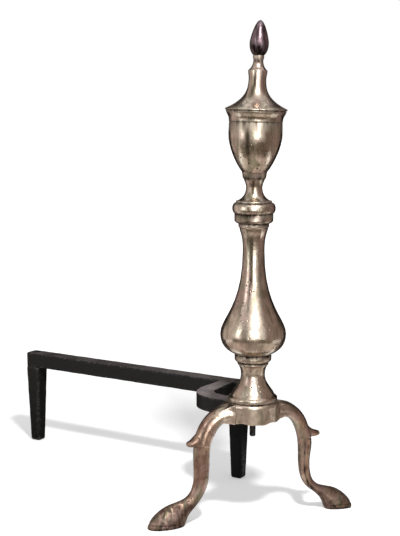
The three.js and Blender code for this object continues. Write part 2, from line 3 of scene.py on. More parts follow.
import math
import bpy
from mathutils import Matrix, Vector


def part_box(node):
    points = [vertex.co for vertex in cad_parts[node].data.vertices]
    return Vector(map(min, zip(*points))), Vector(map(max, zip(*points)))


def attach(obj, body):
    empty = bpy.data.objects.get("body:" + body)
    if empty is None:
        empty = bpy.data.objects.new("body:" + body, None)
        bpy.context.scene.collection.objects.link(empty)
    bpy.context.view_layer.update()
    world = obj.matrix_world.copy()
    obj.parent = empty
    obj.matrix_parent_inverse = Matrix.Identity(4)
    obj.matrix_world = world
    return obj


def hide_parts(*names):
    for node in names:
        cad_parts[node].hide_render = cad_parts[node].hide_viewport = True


bl_info = {
    "name": "Brass and Iron Andiron",
    "version": (1, 0, 0),
    "blender": (4, 5, 0),
    "location": "3D View > Sidebar > Andiron",
    "description": "Models an urn-top andiron and its iron log bar, one piece at a time",
    "category": "Object",
}

import bpy
import numpy as np
from bpy.props import FloatProperty, FloatVectorProperty, PointerProperty
from mathutils import Matrix, Vector

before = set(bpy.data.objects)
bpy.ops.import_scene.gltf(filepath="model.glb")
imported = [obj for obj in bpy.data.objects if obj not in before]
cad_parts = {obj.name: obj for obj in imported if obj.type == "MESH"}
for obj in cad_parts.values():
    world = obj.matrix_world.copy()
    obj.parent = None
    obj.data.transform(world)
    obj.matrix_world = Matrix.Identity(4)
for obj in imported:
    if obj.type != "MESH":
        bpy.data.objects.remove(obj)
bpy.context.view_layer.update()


def mm(length):
    """Millimetres as metres."""
    return length * 0.001


def linear(hex_color):
    """An sRGB hex colour as linear red, green and blue."""
    channels = [int(hex_color[at:at + 2], 16) / 255 for at in (1, 3, 5)]
    return [c / 12.92 if c <= 0.04045 else ((c + 0.055) / 1.055) ** 2.4 for c in channels]


# The column stands on the axis of its round pedestal.
pedestal_low, pedestal_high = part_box("pedestal")
AXIS = Vector((
    (pedestal_low[0] + pedestal_high[0]) / 2,
    (pedestal_low[1] + pedestal_high[1]) / 2,
    0,
))

CAMERA_FROM_AXIS = Vector((-0.46647, -1.15767, 0.44332))
CAMERA_SIDE = math.atan2(CAMERA_FROM_AXIS.y, CAMERA_FROM_AXIS.x)
REST_SWING = math.radians(38.5)  # how far round from square to the arch the bar stands
TURN_STEPS = 96  # facets round a turned piece
CURVE_STEPS = 10  # along each curve of an outline
LEG_SIDES = 16  # of a cast leg's section, before it is subdivided

# In millimetres, as all outlines are
BRASS_BORE = 3.6  # radius of the hole for the tie rod
LEG_JOINT = 24  # from the axis to where a brass leg meets the hub
LEG_ROOT_HALF = 12.3  # half depth of a brass leg where it meets the hub
ARM_DEPTH = 16  # of the bar's arm, from its top down
BAR_ASIDE = 108  # from the axis sideways to the bar, drawn square to the arch
FRONT_LEG_BACK = 79.5  # from the axis back to the front bar leg, drawn so


# -------------------------------------------------------------------------------------------------
# Sizes and finishes that a user would change
# -------------------------------------------------------------------------------------------------


def length_property(name, description, default):
    """A length of the andiron, whose default is given in millimetres."""
    return FloatProperty(
        name=name, description=description, default=mm(default), min=0, unit="LENGTH", precision=4
    )


def color_property(name, description, default):
    """A colour of a finish, whose default is given in sRGB hex."""
    return FloatVectorProperty(
        name=name, description=description, default=linear(default), min=0, max=1, size=3,
        subtype="COLOR",
    )


class AndironColumnSizes(bpy.types.PropertyGroup):
    """Heights of the turned pieces, from the hub up, and the column's lean"""

    arch: length_property("Arch", "Height of the hub's top above the hearth", 124.5)
    pedestal: length_property("Pedestal", "Height of the bell-shaped pedestal", 40.5)
    pedestal_ring: length_property("Pedestal ring", "Height of the ring on the pedestal", 8.2)
    baluster: length_property("Baluster", "Height of the vase-shaped shaft", 133.5)
    collar_ring: length_property("Collar ring", "Height of the collar's lower ring", 9.6)
    collar_torus: length_property("Collar torus", "Height of the collar's upper ring", 11)
    stem: length_property("Urn stem", "Height of the urn's waisted stem", 24.5)
    bowl: length_property("Urn bowl", "Height of the urn's bowl", 55.6)
    rim: length_property("Urn rim", "Height of the flared band under the lid", 11.1)
    lid: length_property("Urn lid", "Height of the lid with its spire", 54.3)
    bud: length_property("Finial bud", "Height of the bud on the lid", 34)
    seat_gap: length_property("Seat gap", "Gap between two pieces that are clamped together", 0.15)
    lean: length_property("Lean", "How far the bud's tip leans to the right", 5.8)
    edge: length_property("Turned edge", "Width that a turned edge is eased to", 0.35)


class AndironLegSizes(bpy.types.PropertyGroup):
    """Sizes of the hub and of the two cabriole legs"""

    hub_radius: length_property("Hub radius", "Radius of the cap that carries the column", 27)
    hub_half_width: length_property("Hub half width", "Axis to the flats that carry the legs", 24)
    hub_skirt: length_property("Hub skirt", "Height of the hub with its skirt", 19.5)
    left_thickness: length_property("Left thickness", "Thickness of the left leg's shank", 17)
    right_thickness: length_property("Right thickness", "Thickness of the right leg's shank", 12.6)
    left_spur: length_property("Left spur", "How far the left spur stands past the knee", 8.4)
    right_spur: length_property("Right spur", "How far the right spur stands past the knee", 12)
    left_heel: length_property("Left heel", "Axis to the left foot's heel", 74.6)
    right_heel: length_property("Right heel", "Axis to the right foot's heel", 83)
    knee_ledge: length_property("Knee ledge", "How proud the knee stands over the shank", 1.1)
    foot_crease: length_property("Foot crease", "Depth of the crease round the foot's pad", 0.7)


class AndironIronSizes(bpy.types.PropertyGroup):
    """Sizes of the log bar, its legs and the tie rod"""

    bar_top: length_property("Bar top", "Height of the bar's top above the hearth", 112.8)
    bar_side: length_property("Bar side", "Side of the square bar", 18)
    log_span: length_property("Log span", "Distance between the bar's two legs", 293.3)
    rod_radius: length_property("Rod radius", "Radius of the tie rod", 3.3)
    hammering: length_property("Hammering", "Depth of the hammer marks in the iron", 0.5)


class AndironFinishes(bpy.types.PropertyGroup):
    """Colours of the brass and the iron"""

    brass_bright: color_property("Brass, bright", "Worn turned brass", "#dacdba")
    brass_dull: color_property("Brass, dull", "Warm grey tarnish on the turned brass", "#9a8a7c")
    brass_pink: color_property("Brass, pink", "Coppery bloom on the brass", "#bb9f97")
    brass_green: color_property("Brass, green", "Greenish tarnish on the brass", "#84806a")
    # The dark brass colour also paints the shade in seams and hollows.
    brass_dark: color_property("Brass, dark", "Soot and pits in the brass", "#1b1411")
    # The streak colour also paints dark reflections down the turned pieces.
    brass_streak: color_property("Brass, streaks", "Olive streaks that a cloth left", "#4a4230")
    cast_bright: color_property("Cast brass, bright", "Worn ridges of the legs", "#b09884")
    cast_dull: color_property("Cast brass, dull", "Reddish brown tarnish of the legs", "#735a4e")
    bud_bright: color_property("Bud, bright", "Worn top of the bud", "#98848a")
    bud_dull: color_property("Bud, dull", "Dark purple brown tarnish of the bud", "#35282b")
    iron_scale: color_property("Iron scale", "Black scale of the forged iron", "#141413")
    iron_worn: color_property("Worn iron", "Greyer iron where logs have rubbed it", "#787070")
    # This darker iron also paints the shade on the front bar leg.
    iron_sooty_shaded: color_property("Sooty iron", "Iron leg, sooty and never rubbed", "#080808")
    floor: color_property("Floor", "Plain pale floor", "#e6e6e6")


# -------------------------------------------------------------------------------------------------
# Modelling tools
# -------------------------------------------------------------------------------------------------


class Outline:
    """Half the section of a turned piece, in metres: lines and curves in the axis's own plane.

    Its points are given as a radius and a height in millimetres."""

    def __init__(self, radius, height):
        self.knots = [Vector((mm(radius), 0, mm(height)))]
        self.handles = []

    def bend(self, radius, height, leaving, arriving):
        """Curve on to a point. The two slopes are shares of the stretch's own run and rise."""
        start = self.knots[-1]
        end = Vector((mm(radius), 0, mm(height)))
        run = end.x - start.x
        rise = end.z - start.z
        first = start + Vector((leaving[0] * run, 0, leaving[1] * rise))
        second = end - Vector((arriving[0] * run, 0, arriving[1] * rise))
        self.handles.append((first, second))
        self.knots.append(end)

    def lines(self, *points):
        """Go straight on from point to point."""
        for radius, height in points:
            self.bend(radius, height, (1 / 3, 1 / 3), (1 / 3, 1 / 3))

    def close(self):
        """Go straight back to the first point."""
        self.lines((self.knots[0].x * 1000, self.knots[0].z * 1000))
        self.knots.pop()

    def bore(self, head):
        """Close the outline round the tie rod's hole, from its head back to its foot."""
        self.lines((BRASS_BORE, head), (BRASS_BORE, self.knots[0].z * 1000))
        self.close()


def select_only(*objects):
    """Deselect everything but these, and make the first one active."""
    bpy.ops.object.select_all(action="DESELECT")
    for each in objects:
        each.select_set(True)
    bpy.context.view_layer.objects.active = objects[0]


def edit_all(piece):
    """Enter edit mode on a piece with everything selected."""
    select_only(piece)
    bpy.ops.object.mode_set(mode="EDIT")
    bpy.ops.mesh.select_all(action="SELECT")


def leave_edit():
    bpy.ops.object.mode_set(mode="OBJECT")


def add(name, primitive, **settings):
    """Add a primitive, a lamp or a camera with nothing else selected, and name it."""
    bpy.ops.object.select_all(action="DESELECT")
    primitive(**settings)
    bpy.context.object.name = name
    return bpy.context.object


def apply_modifier(piece, kind, **settings):
    """Add one modifier to a piece and apply it."""
    select_only(piece)
    bpy.ops.object.modifier_add(type=kind)
    modifier = piece.modifiers[-1]
    for name, value in settings.items():
        setattr(modifier, name, value)
    bpy.ops.object.modifier_apply(modifier=modifier.name)


def place_in_mesh(piece):
    """Put the object at the origin, unturned and unscaled, with its place in its mesh."""
    select_only(piece)
    bpy.ops.object.transform_apply(location=True, rotation=True, scale=True)


def move_mesh(piece, offset):
    """Move all of a piece's mesh."""
    edit_all(piece)
    bpy.ops.transform.translate(value=offset)
    leave_edit()


def combine(piece, cutter, operation):
    """Join a solid to a piece, or cut it away, and delete it."""
    apply_modifier(piece, "BOOLEAN", operation=operation, solver="EXACT", object=cutter)
    bpy.data.objects.remove(cutter, do_unlink=True)


def turn(name, outline, foot=0.0):
    """Spin an outline round the Z axis, with its own foot at a height in metres."""
    piece = add(name, bpy.ops.curve.primitive_bezier_curve_add, location=(0, 0, 0))
    spline = piece.data.splines[0]
    spline.bezier_points.add(len(outline.knots) - 2)
    spline.use_cyclic_u = len(outline.handles) == len(outline.knots)
    piece.data.resolution_u = CURVE_STEPS
    for index, knot in enumerate(outline.knots):
        point = spline.bezier_points[index]
        point.handle_left_type = "FREE"
        point.handle_right_type = "FREE"
        point.co = knot
        before = index - 1 if index > 0 or spline.use_cyclic_u else 0
        point.handle_left = outline.handles[before][1]
        point.handle_right = outline.handles[min(index, len(outline.handles) - 1)][0]
    bpy.ops.object.convert(target="MESH")
    edit_all(piece)
    bpy.ops.mesh.dissolve_limited(angle_limit=math.radians(0.2))
    bpy.ops.mesh.select_all(action="SELECT")
    bpy.ops.mesh.spin(steps=TURN_STEPS, angle=2 * math.pi, center=(0, 0, 0), axis=(0, 0, 1))
    bpy.ops.mesh.select_all(action="SELECT")
    bpy.ops.mesh.remove_doubles(threshold=mm(0.002))
    bpy.ops.mesh.normals_make_consistent(inside=False)
    bpy.ops.transform.translate(value=(0, 0, foot))
    leave_edit()
    return piece


def cylinder(name, radius, foot, head, sides=96):
    """A solid cylinder along Z between two heights, in metres."""
    piece = add(
        name, bpy.ops.mesh.primitive_cylinder_add, vertices=sides, radius=radius,
        depth=head - foot, location=(0, 0, (foot + head) / 2),
    )
    place_in_mesh(piece)
    return piece


def block(name, low, high):
    """A box between two corners, in metres."""
    middle = (Vector(low) + Vector(high)) / 2
    piece = add(name, bpy.ops.mesh.primitive_cube_add, size=1, location=middle)
    piece.scale = Vector(high) - Vector(low)
    place_in_mesh(piece)
    return piece


def plate(name, corners, foot, head):
    """A plan outline, given as a list of points in metres, raised between two heights."""
    piece = add(
        name, bpy.ops.mesh.primitive_circle_add, vertices=len(corners), radius=1, fill_type="NGON"
    )
    for vertex, corner in zip(piece.data.vertices, corners):
        vertex.co = (corner[0], corner[1], foot)
    edit_all(piece)
    bpy.ops.mesh.extrude_region_move(TRANSFORM_OT_translate={"value": (0, 0, head - foot)})
    bpy.ops.mesh.select_all(action="SELECT")
    bpy.ops.mesh.normals_make_consistent(inside=False)
    leave_edit()
    return piece


def cut_plane(piece, point, normal):
    """Cut away what lies on the normal's side of a plane, and close the cut."""
    edit_all(piece)
    bpy.ops.mesh.bisect(
        plane_co=point, plane_no=normal, use_fill=True, clear_outer=True, threshold=1e-7
    )
    leave_edit()


def melt(piece, voxel, smoothing=2):
    """Run a piece's joined solids together into one skin with soft edges, as in a casting."""
    apply_modifier(piece, "REMESH", mode="VOXEL", voxel_size=voxel, adaptivity=0)
    apply_modifier(piece, "SMOOTH", factor=0.5, iterations=smoothing)


def hammer(piece, depth, size):
    """Press shallow hammer marks of a given size into a piece."""
    texture = bpy.data.textures.new(piece.name + "_marks", "CLOUDS")
    texture.noise_scale = size
    texture.noise_depth = 1
    apply_modifier(piece, "DISPLACE", texture=texture, strength=depth, mid_level=0.5)
    bpy.data.textures.remove(texture)


def points_of(piece):
    """All points of a piece's mesh as one array."""
    at = np.empty(len(piece.data.vertices) * 3)
    piece.data.vertices.foreach_get("co", at)
    return at.reshape(-1, 3)


def set_points(piece, at):
    piece.data.vertices.foreach_set("co", at.ravel())
    piece.data.update()


def normals_of(piece):
    return np.array([vertex.normal[:] for vertex in piece.data.vertices])


def store(piece, name, values):
    """Keep one number for each point of a piece's mesh."""
    attribute = piece.data.attributes.get(name)
    if attribute is None:
        attribute = piece.data.attributes.new(name, "FLOAT", "POINT")
    attribute.data.foreach_set("value", np.asarray(values, dtype=np.float32))


def surface_marks(piece, passes=3):
    """Store how hollow or proud the surface is at each point, for soot and wear."""
    mesh = piece.data
    count = len(mesh.vertices)
    at = points_of(piece)
    normal = normals_of(piece)
    edges = np.empty(len(mesh.edges) * 2, dtype=int)
    mesh.edges.foreach_get("vertices", edges)
    a, b = edges.reshape(-1, 2).T
    along = at[b] - at[a]
    along /= np.maximum(np.linalg.norm(along, axis=1), 1e-9)[:, None]
    bends = np.zeros(count)
    shares = np.zeros(count)
    np.add.at(bends, a, (along * normal[a]).sum(axis=1))
    np.add.at(bends, b, -(along * normal[b]).sum(axis=1))
    np.add.at(shares, a, 1)
    np.add.at(shares, b, 1)
    hollow = bends / np.maximum(shares, 1)
    for _ in range(passes):
        spread = np.zeros(count)
        np.add.at(spread, a, hollow[b])
        np.add.at(spread, b, hollow[a])
        hollow = 0.5 * hollow + 0.5 * spread / np.maximum(shares, 1)
    # Hollows are darkened with soot and painted shade.
    store(piece, "grime_and_shade", np.clip(hollow * 5, 0, 1))
    store(piece, "wear", np.clip(-hollow * 5, 0, 1))


def add_grime_and_shade(piece, more):
    """Put more soot on a piece, as one number for each point."""
    grime_and_shade = np.empty(len(piece.data.vertices), dtype=np.float32)
    piece.data.attributes["grime_and_shade"].data.foreach_get("value", grime_and_shade)
    store(piece, "grime_and_shade", np.clip(grime_and_shade + more, 0, 1))


def near(values, place, width):
    """1 where a value is at a place in millimetres, fading to nothing over a width."""
    return np.exp(-((values - mm(place)) / mm(width)) ** 2)


def finish_piece(piece, finish_name, body, node):
    """Give a piece its finish, its smooth shading and its place in the frame."""
    piece.data.materials.clear()
    piece.data.materials.append(finish(finish_name))
    select_only(piece)
    bpy.ops.object.shade_smooth_by_angle(angle=math.radians(40))
    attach(piece, body)
    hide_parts(node)


# -------------------------------------------------------------------------------------------------
# Materials
# -------------------------------------------------------------------------------------------------


def add_node(tree, kind, inputs=None, take=0, **settings):
    """Add a node with its settings and its inputs' values or links, and give one output."""
    node = tree.nodes.new(kind)
    for name, value in settings.items():
        setattr(node, name, value)
    for name, value in (inputs or {}).items():
        if isinstance(value, bpy.types.NodeSocket):
            tree.links.new(value, node.inputs[name])
        else:
            node.inputs[name].default_value = value
    return node.outputs[take] if node.outputs else None


def new_material(name):
    """An empty material."""
    material = bpy.data.materials.new(name)
    material.use_nodes = True
    material.node_tree.nodes.clear()
    return material


def surface(material, inputs):
    """Give a material its surface shader."""
    tree = material.node_tree
    shader = add_node(tree, "ShaderNodeBsdfPrincipled", inputs)
    add_node(tree, "ShaderNodeOutputMaterial", {"Surface": shader})
    return material


def patches(tree, place, size, low, high, detail=4, distortion=0.0):
    """Soft patches of a size in millimetres: 0 below the low threshold, 1 above the high one."""
    field = add_node(
        tree, "ShaderNodeTexNoise",
        {"Vector": place, "Scale": 1000 / size, "Detail": detail, "Distortion": distortion},
    )
    return add_node(
        tree, "ShaderNodeMapRange", {"Value": field, "From Min": low, "From Max": high}
    )


def metalwork(material, base, layers, reliefs, inputs):
    """Lay colours over a base colour and reliefs over each other, and give them to the shader.

    A layer is where it lies, how strong it is and its colour. A relief is its height, its
    strength, its depth in millimetres and whether it is sunk."""
    tree = material.node_tree
    color = base
    for where, strength, layer in layers:
        share = add_node(tree, "ShaderNodeMath", {0: where, 1: strength}, operation="MULTIPLY")
        color = add_node(
            tree, "ShaderNodeMix", {0: share, 6: color, 7: layer}, 2, data_type="RGBA",
            clamp_factor=True,
        )
    normal = {}
    for height, strength, depth, sunk in reliefs:
        relief = {"Height": height, "Strength": strength, "Distance": mm(depth), **normal}
        normal = {"Normal": add_node(tree, "ShaderNodeBump", relief, invert=sunk)}
    return surface(material, {"Base Color": color, **normal, **inputs})


def opaque(color):
    return (*color, 1)


def brass(name, colors, roughness, pitting=1.0, streaks=0.2, dullness=0.7, filed=()):
    """Old brass: polished once, then tarnished by heat and soot, so it is brown and mottled.

    The worn places stay bright, soot fills the seams and pits, and heat leaves pink and green.
    A leg has a second bright and dull colour, for its root that was filed with the hub."""
    material = new_material(name)
    tree = material.node_tree
    chosen = bpy.context.scene.andiron_finishes
    bright, dull, pink, green, dark, olive = (
        opaque(getattr(chosen, each)) for each in (*colors, "brass_dark", "brass_streak")
    )
    place = add_node(tree, "ShaderNodeTexCoord", take="Object")
    grime_and_shade, wear, streaked_and_reflected = (
        add_node(tree, "ShaderNodeAttribute", take="Fac", attribute_name=mark)
        for mark in ("grime_and_shade", "wear", "streak")
    )
    if filed:
        root = add_node(tree, "ShaderNodeAttribute", take="Fac", attribute_name="root")
        bright, dull = (
            add_node(
                tree, "ShaderNodeMix", {0: root, 6: cast, 7: opaque(getattr(chosen, by_hub))}, 2,
                data_type="RGBA", clamp_factor=True,
            )
            for cast, by_hub in zip((bright, dull), filed)
        )

    # Tarnish lies in clouds about 20 mm across, broken up by smears of a few millimetres that run
    # up and down, the way the piece was wiped.
    upright = add_node(
        tree, "ShaderNodeMapping", {"Vector": place, "Scale": (1.0, 1.0, streaks)}
    )
    clouds = patches(tree, place, 20, 0.36, 0.66, 6, 0.6)
    smears = patches(tree, upright, 4.5, 0.4, 0.64, 6, 0.5)
    heat = patches(tree, place, 22, 0.48, 0.62, 5, 0.5)
    verdigris = patches(tree, upright, 9, 0.54, 0.66, 5, 0.4)
    cloudy = add_node(tree, "ShaderNodeMath", {0: clouds, 1: dullness}, operation="MULTIPLY")
    tarnish = add_node(
        tree, "ShaderNodeMath", {0: smears, 1: 0.62, 2: cloudy}, operation="MULTIPLY_ADD",
        use_clamp=True,
    )

    # Pits are 1 to 2 mm across and stand in loose clusters.
    cells = add_node(
        tree, "ShaderNodeTexVoronoi", {"Vector": place, "Scale": 1000 / 4, "Randomness": 1.0}
    )
    pit = add_node(
        tree, "ShaderNodeMapRange", {"Value": cells, "From Min": 0.3, "From Max": 0.14}
    )
    clusters = patches(tree, place, 16, 0.49, 0.6, 3)
    pits = add_node(tree, "ShaderNodeMath", {0: pit, 1: clusters}, operation="MULTIPLY")
    pits = add_node(tree, "ShaderNodeMath", {0: pits, 1: 0.8 * pitting}, operation="MULTIPLY")
    # Soot and painted shade in the seams are broken up by the smears, so that they look brushed in.
    ragged = add_node(
        tree, "ShaderNodeMath", {0: smears, 1: 0.6, 2: 0.65}, operation="MULTIPLY_ADD"
    )
    soot_and_shade = add_node(
        tree, "ShaderNodeMath", {0: grime_and_shade, 1: ragged}, operation="MULTIPLY", use_clamp=True
    )
    darkness = add_node(tree, "ShaderNodeMath", {0: soot_and_shade, 1: pits}, operation="MAXIMUM")

    # Tarnish is duller than worn metal, and soot, painted shade and pits duller still.
    rough = add_node(
        tree, "ShaderNodeMapRange",
        {"Value": tarnish, "To Min": roughness - 0.06, "To Max": roughness + 0.1},
    )
    rough = add_node(
        tree, "ShaderNodeMath", {0: darkness, 1: 0.5, 2: rough}, operation="MULTIPLY_ADD",
        use_clamp=True,
    )
    # Handling and casting leave low waves about 12 mm long, and dents and grains about 3 mm across.
    waves, grain = (
        add_node(
            tree, "ShaderNodeTexNoise", {"Vector": place, "Scale": 1000 / size, "Detail": detail}
        )
        for size, detail in ((12, 2), (3.2, 4))
    )
    # The dark layer paints soot, pits and the shade in seams and hollows. The olive layer paints
    # streaks that are partly painted reflections.
    layers = (
        (tarnish, 1, dull),
        (heat, 0.55, pink),
        (verdigris, 0.8, green),
        (wear, 0.6, bright),
        (streaked_and_reflected, 1, olive),
        (darkness, 1, dark),
    )
    reliefs = (
        (waves, 0.35, 1.0, False),
        (grain, 0.3, 0.3, False),
        (pits, 0.6, 0.3, True),
    )
    return metalwork(material, bright, layers, reliefs, {"Roughness": rough, "Metallic": 1})


def wrought_iron(name, scale, worn, rubbing, gloss):
    """Wrought iron: black fire scale over hammered metal, rubbed grey on top where logs lie."""
    material = new_material(name)
    tree = material.node_tree
    place = add_node(tree, "ShaderNodeTexCoord", take="Object")
    facing = add_node(tree, "ShaderNodeNewGeometry", take="Normal")
    up = add_node(tree, "ShaderNodeSeparateXYZ", {"Vector": facing}, "Z")
    wear, handled = (
        add_node(tree, "ShaderNodeAttribute", take="Fac", attribute_name=mark)
        for mark in ("wear", "handled")
    )
    clouds = patches(tree, place, 20, 0.35, 0.65, 5, 0.5)
    flakes = patches(tree, place, 4, 0.46, 0.72, 5, 0.3)
    topside = add_node(
        tree, "ShaderNodeMapRange", {"Value": up, "From Min": 0.55, "From Max": 0.95}
    )
    cover = add_node(
        tree, "ShaderNodeMath", {0: clouds, 1: 0.6, 2: 0.4}, operation="MULTIPLY_ADD"
    )
    rubbed = add_node(tree, "ShaderNodeMath", {0: topside, 1: cover}, operation="MULTIPLY")
    often = add_node(tree, "ShaderNodeMath", {0: handled, 1: rubbing}, operation="ADD")
    rubbed = add_node(tree, "ShaderNodeMath", {0: rubbed, 1: often}, operation="MULTIPLY")
    edges = add_node(tree, "ShaderNodeMath", {0: wear, 1: flakes}, operation="MULTIPLY")
    bare = add_node(
        tree, "ShaderNodeMath", {0: rubbed, 1: edges}, operation="MAXIMUM", use_clamp=True
    )
    rough = add_node(
        tree, "ShaderNodeMapRange", {"Value": flakes, "To Min": 0.42, "To Max": 0.62}
    )
    # Hammer dents are about 9 mm across, and flakes of scale about 4 mm.
    dents = add_node(
        tree, "ShaderNodeTexNoise", {"Vector": place, "Scale": 1000 / 9, "Detail": 3}
    )
    return metalwork(
        material, opaque(scale), ((bare, 1, opaque(worn)),),
        ((dents, 0.5, 1.2, False), (flakes, 0.35, 0.25, False)),
        {"Roughness": rough, "Specular IOR Level": gloss},
    )


BRASS_COLORS = ("brass_bright", "brass_dull", "brass_pink", "brass_green")
CAST_COLORS = ("cast_bright", "cast_dull", "brass_pink", "brass_green")
BUD_COLORS = ("bud_bright", "bud_dull", "bud_bright", "bud_dull")


def finish(name):
    """The material of a finish, made when it is first asked for."""
    if name in bpy.data.materials:
        return bpy.data.materials[name]
    chosen = bpy.context.scene.andiron_finishes
    # Turned and polished brass reflects the room in soft streaks.
    if name == "turned_brass":
        return brass(name, BRASS_COLORS, roughness=0.22)
    # The hub was filed by hand, so it is more evenly bright and its highlights are broader.
    if name == "filed_brass":
        return brass(name, BRASS_COLORS, 0.3, pitting=0.8, streaks=0.6, dullness=0.5)
    # Cast legs were hardly polished, so they have gone reddish brown but for their ridges.
    if name == "cast_brass":
        return brass(
            name, CAST_COLORS, 0.27, pitting=0.9, streaks=0.5, dullness=1.0,
            filed=("brass_bright", "brass_dull"),
        )
    # The bud is turned brass that smoke has made purple brown.
    if name == "dark_brass":
        return brass(name, BUD_COLORS, 0.22, pitting=0.3)
    # The front bar leg is a darker and duller copy of the forged iron: soot and painted shade.
    if name == "sooty_shaded_iron":
        return wrought_iron(name, chosen.iron_sooty_shaded, chosen.iron_scale, 0.5, 0.07)
    # Forged iron is black with a dull sheen, and greyer on its rubbed tops.
    return wrought_iron(name, chosen.iron_scale, chosen.iron_worn, 0.4, 0.17)


# -------------------------------------------------------------------------------------------------
# The turned column
# -------------------------------------------------------------------------------------------------

COLUMN = (
    "pedestal", "pedestal_ring", "baluster", "collar_ring", "collar_torus", "stem", "bowl", "rim",
    "lid", "bud",
)


def seat_of(name):
    """The height in metres that a piece of the column stands on."""
    sizes = bpy.context.scene.andiron_column
    return sizes.arch + sum(getattr(sizes, each) for each in COLUMN[:COLUMN.index(name)])


def head_of(name):
    """A column piece's own height in millimetres, less the gap to the piece above."""
    sizes = bpy.context.scene.andiron_column
    return (getattr(sizes, name) - sizes.seat_gap) * 1000


def lean_piece(piece):
    """Bend a piece sideways with the tie rod, which is straight up to the collar."""
    sizes = bpy.context.scene.andiron_column
    foot = seat_of("collar_ring")
    height = seat_of("bud") + sizes.bud - foot
    at = points_of(piece)
    share = np.maximum(0, at[:, 2] - foot) / height
    slope = 2 * sizes.lean * share / height
    at[:, 2] -= slope * at[:, 0]
    at[:, 0] += sizes.lean * share ** 2
    set_points(piece, at)


def streaks_and_reflections(piece, foot, head, streaks):
    """Store dark streaks that a cloth left down a turned piece.

    Each is its angle from the camera's side, its half width in degrees, the shares of the piece's
    height that it runs between, and how dark it is."""
    at = points_of(piece)
    angle = np.degrees(np.arctan2(at[:, 1], at[:, 0])) - math.degrees(CAMERA_SIDE)
    share = (at[:, 2] - foot) / (head - foot)
    dark = np.zeros(len(at))
    for middle, half_width, low, high, strength in streaks:
        off = (angle - middle + 180) % 360 - 180
        across = np.exp(-(off / half_width) ** 2)
        along = np.clip((share - low) / 0.06, 0, 1) * np.clip((high - share) / 0.06, 0, 1)
        dark = np.maximum(dark, strength * across * along)
    store(piece, "streak", dark)


def column_piece(name, node, outline, height, soot_and_shade=0.75, streaks=(), finish_name="turned_brass"):
    """Turn a piece of the column on its seat, ease its edges, lean it and finish it.

    Soot gathers near its foot and its head, where it meets its neighbours."""
    sizes = bpy.context.scene.andiron_column
    foot = seat_of(height)
    head = foot + getattr(sizes, height)
    piece = turn(name, outline, foot)
    apply_modifier(
        piece, "BEVEL", width=sizes.edge, segments=2, limit_method="ANGLE",
        angle_limit=math.radians(22),
    )
    surface_marks(piece)
    up = points_of(piece)[:, 2]
    reach = 1.8
    # Soot and painted shade darken a band near the foot and the head.
    add_grime_and_shade(
        piece, soot_and_shade * np.maximum(near(up, foot * 1000, reach), near(up, head * 1000, reach))
    )
    streaks_and_reflections(piece, foot, head, streaks)
    lean_piece(piece)
    move_mesh(piece, AXIS)
    finish_piece(piece, finish_name, "brass_front", node)
    return piece


class ANDIRON_OT_pedestal(bpy.types.Operator):
    """Turn the bell-shaped pedestal and the ring on its head"""

    bl_idname = "andiron.pedestal"
    bl_label = "Pedestal"

    def execute(self, context):
        head = head_of("pedestal")
        bell = Outline(24, 0)
        bell.lines((25, 1), (25, 4.3), (22.3, 6.3))
        bell.bend(12.2, 27.5, (0.29, 0.36), (0, 0.46))
        bell.bend(14.8, head - 3.2, (0, 0.49), (0.3, 0.1))
        bell.lines((15.8, head - 2.2), (15.8, head - 1), (14.8, head))
        bell.bore(head)
        column_piece("bell_pedestal", "pedestal", bell, "pedestal")

        head = head_of("pedestal_ring")
        ring = Outline(16.2, 0)
        ring.bend(18.8, head / 2, (0.8, 0.3), (0, 0.5))
        ring.lines((18.8, head))
        ring.bore(head)
        column_piece("waist_ring", "pedestal_ring", ring, "pedestal_ring", soot_and_shade=1.0)
        return {"FINISHED"}


class ANDIRON_OT_baluster(bpy.types.Operator):
    """Turn the vase-shaped shaft"""

    bl_idname = "andiron.baluster"
    bl_label = "Baluster"

    def execute(self, context):
        head = head_of("baluster")
        vase = Outline(18.4, 0)
        vase.bend(33.4, 21.2, (0.71, 0.24), (0, 0.49))
        vase.bend(11, head - 27.5, (0, 0.18), (0, 0.68))
        vase.bend(14.5, head - 4.4, (0, 0.7), (0.2, 0.25))
        vase.lines((15.5, head - 3.4), (15.5, head))
        vase.bore(head)
        column_piece(
            "vase_shaft", "baluster", vase, "baluster", soot_and_shade=0.9,
            streaks=(
                (-7, 6, 0.5, 0.92, 1.0), (-36, 4, 0.3, 0.8, 0.5), (62, 10, 0.3, 0.9, 0.4),
                (-7, 9, 0.03, 0.18, 0.5), (14, 10, 0.03, 0.17, 0.5),
            ),
        )
        return {"FINISHED"}


class ANDIRON_OT_collar(bpy.types.Operator):
    """Turn the two rings of the collar"""

    bl_idname = "andiron.collar"
    bl_label = "Collar"

    def execute(self, context):
        head = head_of("collar_ring")
        ring = Outline(16.6, 0)
        ring.bend(19.6, head - 6, (0.7, 0.2), (0, 0.4))
        ring.lines((19.6, head))
        ring.bore(head)
        column_piece(
            "collar_band", "collar_ring", ring, "collar_ring", soot_and_shade=0.9,
            streaks=((-24, 20, 0.1, 1.1, 0.8), (30, 9, -0.1, 0.5, 0.6), (160, 30, 0.0, 1.1, 0.7)),
        )

        head = head_of("collar_torus")
        torus = Outline(18.9, 0)
        torus.bend(21.8, head / 2, (0.6, 0.05), (0, 0.5))
        torus.bend(18.9, head, (0, 0.5), (0.6, 0.05))
        torus.bore(head)
        column_piece("collar_roll", "collar_torus", torus, "collar_torus")
        return {"FINISHED"}


